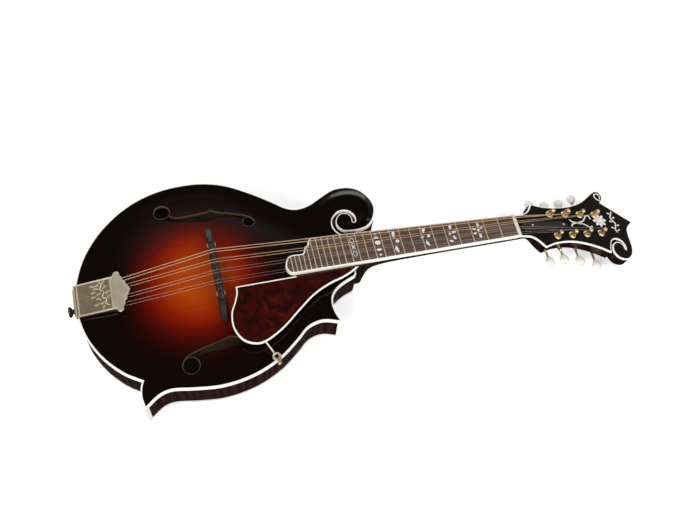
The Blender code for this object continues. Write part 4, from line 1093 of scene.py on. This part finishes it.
for side, label in ((1, "bass"), (-1, "treble")):
    turn = -side * TURN
    row = HEAD @ Matrix.Translation((*post_place(0, side), 0)) @ Matrix.Rotation(turn, 4, "Z")
    if side < 0:
        row = row @ Matrix.Scale(-1, 4, (0, 1, 0))
    piece(f"plate_{label}", tuner_plate(), row, "gold", replaces=f"tuner_plate_{label}", bevel=0.12, angle=40)
    for k, (x, y) in enumerate(((-15.2, 0.4), (77.6, 0.4), (9.0, 5.6), (31.9, 5.6), (54.8, 5.6))):
        flip = Matrix.Translation((x, y, -15.85)) @ Matrix.Rotation(math.pi, 4, "X")
        screw(f"plate_{label}_screw_{k + 1}", row @ flip, 1.25, turn=0.4 + k)
    for k in range(4):
        mark = f"{label}_{k + 1}"
        s, v = post_place(k, side)
        post, body = HEAD @ Matrix.Translation((s, v, 0)), f"post_{mark}"
        stem = Shape().lathe(POST, 28).join(prism(gear_loop(), -21.2, -18.2))
        stem.lathe([(0, -22.6), (1.4, -22.6), (1.5, -22.1), (1.5, -21.0), (0, -21.0)], 18)
        piece(f"post_turned_{mark}", stem, post, "gold", body, replaces=f"tuner_post_{mark}", angle=35)
        # A dark tube across each post at its string hole: painted shade standing in for the hole, which is
        # not cut
        bore = Shape().tube([(-2.45, 0, 6.4), (2.45, 0, 6.4)], 0.75, 12)
        piece(f"post_bore_{mark}", bore, post, "felt", body)
        section = [(2.0, 0.0), (3.75, 0.0), (3.75, 0.45), (3.3, 1.0), (2.5, 1.25), (2.0, 1.1)]
        bush = Shape().ring(circle((0, 0), 1.0, 36), section)
        piece(f"bushing_{mark}", bush, post, "gold", angle=35)

        body = f"key_{mark}"
        place = (s - WORM * math.cos(turn), v - WORM * math.sin(turn), KEY_LEVEL)
        reach = BUTTON_REACH[k] - abs(place[1]) - (0 if side > 0 else 1.4)
        facing = turn + (0 if side > 0 else math.pi)
        key = HEAD @ Matrix.Translation(place) @ Matrix.Rotation(facing, 4, "Z")
        shaft = Shape().lathe(worm_profile(reach), 20, ALONG_Y)
        piece(f"key_shaft_{mark}", shaft, key, "gold", body, angle=35)
        rings = []
        for y, wide, deep in BUTTON:
            ring = [ellipse(a, 1.12 * wide, 1.1 * deep) for a in np.linspace(0, 2 * math.pi, 29)[:-1]]
            rings.append([(x, reach + y, z) for x, z in ring])
        button = Shape().loft(rings)
        piece(f"key_button_{mark}", button, key, "button", body, replaces=f"tuner_key_{mark}", angle=60)
        tip = [(0, 6.6), (0.9, 6.6), (0.9, 7.05), (0.5, 7.3), (0, 7.35)]
        pin = Shape().lathe(tip, 16, Matrix.Translation((0, reach, 0)) @ ALONG_Y)
        piece(f"key_pin_{mark}", pin, key, "gold", body)

# ------------------------ bridge
BRIDGE = RIM @ Matrix.Translation((BRIDGE_X, 0, 0))
rings = []
for y in np.linspace(-58, 58, 49):
    ay = abs(y)
    foot = float(arch(BRIDGE_X, ay)) + 0.35
    crest = float(np.interp(ay, [0, 37, 41, 47, 52, 58], [19.2, 19.2, 17.6, 14.2, 12.4, 11.2]))
    hollow = 2.6 * float(ramp(np.array(24.0 - ay), 0, 12))
    taper = max(0, ay - 54) / 4
    half_foot, half_top = 4.2 - taper, 3.2 - 0.8 * taper
    low = foot + (hollow if crest - foot - hollow > 3.5 else 0)
    waist = low + min(2.0, (crest - low) * 0.4)
    half = [(half_foot, low), (half_foot, waist), (half_top + 0.2, crest - 0.9), (half_top - 0.6, crest)]
    rings.append([(-x, y, z) for x, z in half] + [(x, y, z) for x, z in half[::-1]])
piece("bridge_foot", Shape().loft(rings), BRIDGE, "ebony", replaces="bridge_base", angle=38)

ENDS = [(side * y, 0) for y in (26, 29, 33, 37, 38) for side in (1, -1)]
rings = []
for y, notch in sorted([*string_slots(STRINGS_AT_BRIDGE, 0.8, 0.15), *ENDS]):
    ay = abs(y)
    crest = float(np.interp(ay, [0, 24, 26, 29, 33, 38], [30.3, 30.3, 30.1, 29.3, 28.4, 27.0]))
    low = float(np.interp(ay, [0, 34, 38], [24.0, 24.0, 24.6]))
    step = 0.55 * (1 if 11 < ay < 23 else -1 if 3 < ay < 9.5 else 0)
    peak = crest - 0.3 * notch
    rings.append([(x, y, z) for x, z in (
        (-3.6, low), (-3.6, crest - 3.2), (-2.6, crest - 1.1), (-0.9 + step, peak - 0.1), (-0.2 + step, peak),
        (0.6 + step, peak - 0.1), (2.6, crest - 1.4), (3.6, crest - 3.0), (3.6, low),
    )])
saddle = Shape().loft(rings)
saddle_top = piece("saddle_top", saddle, BRIDGE, "ebony", "saddle", replaces="bridge_saddle", angle=38)
POSTS = (("bass", 30), ("treble", -30))
for _, y in POSTS:
    bore = Shape().lathe([(0, 20), (1.75, 20), (1.75, 40), (0, 40)], 28)
    carve(saddle_top, bore, BRIDGE @ Matrix.Translation((0, y, 0)), "ebony")
knurl = []
for k in range(44):
    knurl += [polar((0, 0), 5.0, 360 * k / 44), polar((0, 0), 4.7, 360 * (k + 0.5) / 44)]
threads = [p for k in range(16) for p in ((1.5, 14.2 + 0.7 * k), (1.28, 14.2 + 0.7 * k + 0.35))]
for label, y in POSTS:
    place = BRIDGE @ Matrix.Translation((0, y, 0))
    post = Shape().lathe([(0, 14), (1.5, 14), *threads, (1.5, 25.6), (1.2, 25.8), (0, 25.8)], 20)
    piece(f"post_screw_{label}", post, place, "gold", replaces=f"bridge_post_{label}", angle=30)
    wheel = prism(knurl, 21.75, 23.65, holes=[circle((0, 0), 1.75, 24)])
    wheel.ring(circle((0, 0), 3.0, 30), box_section(-1.25, 1.2, 21.6, 23.8))
    name, body = f"wheel_{label}_knurled", f"wheel_{label}"
    piece(name, wheel, place, "wheel", body, replaces=f"thumbwheel_{label}", angle=30)

# ------------------------ tailpiece
TAIL = RIM @ Matrix.Translation((-512, 0, 3.6)) @ Matrix.Rotation(math.radians(-7.4), 4, "Y")
FRONT = [
    (42.4, 19.6), (44.4, 20.7), (45.1, 22.8), (47, 24.1), (49.5, 24), (51.4, 22.5), (51.8, 20.4),
    (51.6, 18.6), (53, 17.2), (54.2, 15), (54.2, 13), (56, 11.4), (57.2, 9.2), (57, 7.4), (58.8, 5.8),
    (59.4, 3.6), (60.4, 1.6), (61.3, 0.6),
]
half = [(-0.4, 19.2), *smooth(FRONT, 3)]
cover = chain(half, [(x, -y) for x, y in half[::-1]])[::-1]
shell = prism(cover, 0.0, 0.9)
lip_section = [(-1.6, 0.85), (-1.3, 1.2), (-0.6, 1.35), (-0.1, 1.15), (0.0, 0.8), (0, 0.3), (-1.6, 0.3)]
shell.ring(cover, lip_section, index=1)
piece("cover_shell", shell, TAIL, ("cover", "band"), "cover", replaces="tailpiece_cover", angle=45)
walls = Shape()
for side in (1, -1):
    inner, outer = side * 18.2, side * 19.2
    walls.join(prism([(0.2, inner), (42, inner), (42, outer), (0.2, outer)][::side], -2.4, 0.4))
walls.join(prism([(-0.35, -19.1), (0.6, -19.1), (0.6, 19.1), (-0.35, 19.1)], -1.6, 0.6))
piece("cover_walls", walls, TAIL, "cover", "cover", bevel=0.2)
# A raised band across the cover's front, paler as a painted highlight where the front rolls over, and two
# rolled lines
front_highlight_band = [(40.5, -18.5), *[p for p in offset(cover, -1.2) if p[0] > 42], (40.5, 18.5)]
piece("cover_band_highlight", prism(front_highlight_band, 0.8, 1.3), TAIL, "band", "cover", bevel=0.2)
rolls = Shape()
for x in (3.6, 40.4):
    roll = [ellipse(a, 0.9, 0.75) for a in np.linspace(0, math.pi, 9)]
    rolls.loft([[(x + a, y, 0.75 + b) for a, b in roll] for y in (-18.4, 18.4)])
piece("cover_rolls", rolls, TAIL, "band", "cover", angle=50)
# A raised sprig on the cover: a wavy stem and its leaves
stem = smooth([
    (27.4, 17.2), (30.8, 12.8), (28.4, 7.8), (32.4, 3.4), (30.2, -1.8), (34.6, -5.8), (33.0, -9.8),
    (37.0, -13.4),
], 6)
sprig = Shape().tube([(*p, 1.0) for p in stem], [0.2, *[0.55] * (len(stem) - 2), 0.2], 8)
LEAVES = [
    (25.6, 13.6, 200, 1), (33.4, 15.0, 60, 1), (24.6, 8.6, 170, -1), (33.6, 8.6, 40, 1), (26.6, 2.6, 200, 1),
    (36.0, 3.4, 20, -1), (26.4, -4.0, 170, -1), (37.4, -3.4, 40, 1), (29.6, -8.6, 200, 1),
    (31.4, -14.4, 240, -1), (20.6, 5.6, 180, 1), (20.8, -1.0, 190, -1), (23.6, -9.4, 190, 1),
    (20.4, 12.4, 160, -1),
]
for x, y, degrees, sign in LEAVES:
    sprig.join(prism(leaf((x, y), 6.4, 2.4, degrees, 0.7 * sign), 0.8, 1.15))
piece("cover_sprig", sprig, TAIL, "band", "cover", angle=50)

BED = RIM @ Matrix.Translation((-512, 0, 0.5)) @ Matrix.Rotation(math.radians(-2.9), 4, "Y")
bed = prism([(-0.9, -17), (44, -17.6), (44, 17.6), (-0.9, 17)], 0.0, 0.9)
piece("tail_bed", bed, BED, "gold", replaces="tailpiece_base", bevel=0.2)
HANG = [(14, 1.2), (16.6, 0.6), (15.4, -5), (12.2, -12), (10.6, -22), (9.6, -29), (7, -32)]
hang = [*[(-y, z) for y, z in HANG], *HANG[::-1]]
hanger = prism(hang, -513.8, -512.7, holes=[circle((0, -20), 3.9, 28)])
side_on = Matrix(((0, 0, 1, 0), (1, 0, 0, 0), (0, 1, 0, 0), (0, 0, 0, 1)))
piece("tail_hanger", hanger, RIM @ side_on, "gold", bevel=0.2)
BACKWARD = Matrix.Rotation(-math.pi / 2, 4, "Y")
for number, y in enumerate((-9.5, 9.5)):
    place = RIM @ Matrix.Translation((-513.8, y, -5)) @ BACKWARD
    screw(f"tail_screw_{number + 1}", place, 1.6, turn=0.7 + number)
for number, y in enumerate([side * y for y in STRINGS_AT_TAIL for side in (1, -1)]):
    hook = Shape().tube([(-475.2, y, 1.6), (-475.2, y, 4.6), (-475.35, y, 5.0), (-475.6, y, 5.2)], 0.6, 10)
    piece(f"tail_hook_{number + 1}", hook, RIM, "gold", angle=60)
pin_frame = RIM @ Matrix.Translation((-514.2, 0, -20)) @ BACKWARD
pin = [
    (0, -20), (3.4, -20), (3.4, 0.2), (2.6, 1.4), (2.6, 3.0), (3.2, 4.2), (5.0, 5.0), (6.0, 6.1), (6.2, 7.0),
    (5.7, 8.0), (4.2, 8.5), (0, 8.6),
]
piece("end_pin_turned", Shape().lathe(pin, 36), pin_frame, "ebony", replaces="end_pin", angle=40)
dot = Shape().lathe([(0, 8.4), (1.6, 8.4), (1.5, 8.66), (0, 8.7)], 20)
piece("end_pin_dot", dot, pin_frame, "pearl")

# ------------------------ guard and its bracket
straight = [GUARD_STRAIGHT[0], (-272, -22.13), GUARD_STRAIGHT[1]]
guard_loop = chain(straight, smooth([*GUARD_CURVE, GUARD_STRAIGHT[0]], 6))
guard_loop = [np.array((x + 204.0, y)) for x, y in guard_loop][::-1]
guard = prism(offset(guard_loop, -1.5), -2.4, 0.0)
piece("guard_plate", guard, GUARD, "tortoise", replaces="pickguard", angle=40)
# Its white line, which takes the guard's own colour beside the fretboard
section = [(-1.5, -2.4), (-1.5, 0.0), (-0.25, 0.0), (0.0, -0.2), (0.0, -2.4)]
beside_board = [
    int(min(p[0], q[0]) > -70 and min(p[1], q[1]) > -23)
    for p, q in zip(guard_loop, [*guard_loop[1:], guard_loop[0]])
]
guard_ring = Shape().ring(guard_loop, section, index=beside_board * len(section))
piece("guard_line", guard_ring, GUARD, ("ivoroid", "tortoise"), angle=40)
# The bracket: a ring on the top's edge with a square window, its wire arm, and a lip screwed to the rim
CLAMP_CENTRE = (-310.8, -105.6)
SIDE = RIM @ Matrix.Translation((*CLAMP_CENTRE, -9.0)) @ Matrix.Rotation(math.atan2(-0.888, 0.46), 4, "Z")
OUTWARD = SIDE @ Matrix.Rotation(math.pi / 2, 4, "Y")
window = [polar(CLAMP_CENTRE, 3.1, 90 * k - 17.6) for k in range(4)]
clamp = prism(circle(CLAMP_CENTRE, 4.8, 40), 0.6, 2.2, holes=[window])
piece("guard_clamp", clamp, RIM, "bracket", replaces="guard_bracket", bevel=0.3, segments=3)
arm = smooth([
    (-324, -85, 14.2), (-321.5, -89, 14), (-316.5, -96.5, 8.3), (-314, -100.6, 5.2), (-312.6, -102.8, 1.7),
], 5)
piece("guard_arm", Shape().tube(arm, 1.0, 12), RIM, "bracket", angle=60)
strap = prism([(3.4, -2.4), (5.4, -2.4), (5.4, 2.4), (3.4, 2.4)], 9.6, 11.2)
piece("guard_strap", strap, SIDE, "bracket", bevel=0.3)
round_end = [polar((0, 0), 2.4, angle) for angle in np.arange(-180, 1, 15)]
flat_lip = prism([*round_end, (2.4, 11.2), (-2.4, 11.2)], 4.35, 5.75, holes=[circle((0, 0), 1.6, 24)])
lip = Shape().join(flat_lip, (2, 0, 1))
piece("guard_lip", lip, SIDE, "bracket", bevel=0.3, segments=3)
head = screw("guard_screw_head", OUTWARD @ Matrix.Translation((0, 0, 6.05)), 2.5, height=0.8, turn=0.6)
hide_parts("guard_screw")
shank = Shape().lathe([(0, 1.4), (1.3, 1.4), (1.3, 6.3), (0, 6.3)], 20)
piece("guard_screw_shank", shank, OUTWARD, "gold")


# ------------------------ strings
def head_point(s, v, n):
    """A point of the headstock's frame in the rim's."""
    along, up = math.cos(PITCH), math.sin(PITCH)
    return Vector((4 + s * along + n * up, v, -6.3 - s * up + n * along))


for number, r in enumerate(STRING_RADII):
    side = 1 if number < 4 else -1
    k = number if side > 0 else 7 - number
    s0, v0 = post_place(k, side)
    start, coil = 5.0 + 2.6 * (k % 2), 2.8 + r
    a = Vector((HOOK[0], side * STRINGS_AT_TAIL[k], HOOK[1]))
    b = Vector((BRIDGE_X, side * STRINGS_AT_BRIDGE[k], SADDLE_TOP + r))
    c = Vector((0.7, side * STRINGS_AT_NUT[k], board_height(0.7) + 0.98 + r))
    last = head_point(s0, v0 - side * coil, start)
    # Hook, saddle, nut and post, with a point each side of the two bends
    run = [a, a.lerp(b, 0.5), b + (a - b).normalized() * 1.2, b, b + (c - b).normalized() * 1.2]
    run += [b.lerp(c, 0.5), c, c + (last - c).normalized() * 1.5, c.lerp(last, 0.5)]
    for step in range(53):
        angle = math.radians(-90 * side + side * 11.25 * step)
        height = start - step / 32 * (2.2 * r + 0.15)
        run.append(head_point(s0 + coil * math.cos(angle), v0 + coil * math.sin(angle), height))
    name, key = f"string_run_{number + 1}", "bronze" if side > 0 else "steel"
    piece(name, Shape().tube(run, r, 10), RIM, key, replaces=f"string_{number + 1}", angle=60)
    # The loop end: a thicker wrap beside the hook, and the eye round it
    reach = [a + (b - a).normalized() * t for t in (0, 1, 10, 14)]
    wrap = Shape().tube(reach, [r + 0.22, r + 0.28, r + 0.22, r * 0.9], 10)
    eye = [ellipse(t, 1.25, 1.0) for t in np.linspace(0, 2 * math.pi, 22)]
    wrap.tube([(a.x - 1.4 + x, a.y + y, a.z - 0.2) for x, y in eye], 0.26, 8)
    piece(f"string_loop_{number + 1}", wrap, RIM, "bronze", angle=60)

# Side dots on the board's bass edge
for number, fret in enumerate((3, 5, 7, 10, 12, 15)):
    x = fret_x(fret - 0.5)
    for shift in (0,) if fret != 12 else (-1.6, 1.6):
        dot = Shape().lathe([(0, -0.3), (0.85, -0.3), (0.85, 0.06), (0, 0.08)], 18)
        place = BOARD @ Matrix.Translation((x + shift, board_half(x), -2.2)) @ ALONG_Y
        piece(f"side_dot_{number + 1}{'ab'[shift > 0]}", dot, place, "ebony")

# ------------------------ pieces kept from the model
KEPT = {
    "head_block": "inside", "tail_block": "inside", "tone_bar_bass": "cut", "tone_bar_treble": "cut",
    "truss_rod": "steel", "truss_rod_nut": "gold",
}
for name, key in KEPT.items():
    for holder in bpy.data.objects[name].material_slots:
        holder.material = M[key]

# ------------------------ floor, light, camera
floor_mesh = bpy.data.meshes.new("floor")
floor_mesh.from_pydata([(-6, -6, 0), (6, -6, 0), (6, 6, 0), (-6, 6, 0)], [], [(0, 1, 2, 3)])
floor = bpy.data.objects.new("floor", floor_mesh)
floor.location.z = cad_box[0][2] - 0.0015
bpy.context.scene.collection.objects.link(floor)
paper = Paint("paper", (0.90, 0.90, 0.90), 0.9)
set_inputs(paper.shader, Emission_Color=(1, 1, 1, 1), Emission_Strength=0.42)
paper.colour(paper.two(paper.noise(6, 2), (0.90, 0.90, 0.90), (0.92, 0.92, 0.92)))
floor.data.materials.append(paper.mat)
floor.visible_glossy = False

# A sky shaded by height only: a bright band above the horizon, for the lacquer and the metal to mirror
world = bpy.data.worlds.new("studio")
bpy.context.scene.world = world
world.use_nodes = True
tree = world.node_tree
coords = tree.nodes.new("ShaderNodeTexCoord")
split = tree.nodes.new("ShaderNodeSeparateXYZ")
level = tree.nodes.new("ShaderNodeMapRange")
set_inputs(level, From_Min=-1.0)
shade = tree.nodes.new("ShaderNodeValToRGB")
SKY = [(0.0, 0.03), (0.47, 0.05), (0.54, 0.45), (0.68, 0.75), (0.80, 0.30), (0.90, 0.06), (1.0, 0.06)]
set_stops(shade.color_ramp, [(position, (value, value, value)) for position, value in SKY])
tree.links.new(coords.outputs["Generated"], split.inputs[0])
tree.links.new(split.outputs["Z"], level.inputs["Value"])
tree.links.new(level.outputs["Result"], shade.inputs["Fac"])
tree.links.new(shade.outputs["Color"], tree.nodes["Background"].inputs["Color"])


def area_light(name, place, target, size, power, colour=(1, 1, 1)):
    data = bpy.data.lights.new(name, "AREA")
    data.shape = "RECTANGLE"
    data.size, data.size_y = size
    data.energy = power
    data.color = colour
    lamp = bpy.data.objects.new(name, data)
    lamp.location = place
    lamp.rotation_euler = (Vector(target) - Vector(place)).to_track_quat("-Z", "Y").to_euler()
    bpy.context.scene.collection.objects.link(lamp)


area_light("key", (-0.95, -1.15, 1.55), (0.05, 0, 0.02), (0.9, 0.9), 30, (1.0, 0.985, 0.96))
area_light("fill", (1.25, -0.5, 1.3), (0.1, 0, 0.02), (1.2, 1.2), 15, (0.96, 0.98, 1.0))
area_light("rear", (-0.5, 1.5, 0.8), (0, 0, 0.03), (1.4, 0.4), 5)
area_light("scroll", (0.6, 1.5, 0.7), (0.15, 0.05, 0.05), (1.3, 0.5), 5)

camera_data = bpy.data.cameras.new("camera")
camera_data.sensor_width = 36
camera_data.lens = 46.52
camera_data.clip_start = 0.01
camera = bpy.data.objects.new("camera", camera_data)
camera.matrix_world = Matrix((
    (0.967803, 0.175719, -0.180267, -0.03465),
    (-0.237629, 0.874054, -0.423766, -0.44491),
    (0.083098, 0.452951, 0.887654, 0.97428),
    (0, 0, 0, 1),
))
bpy.context.scene.collection.objects.link(camera)
bpy.context.scene.camera = camera
view = bpy.context.scene.view_settings
view.view_transform = "Standard"
view.look = "None"
view.exposure = 0.0
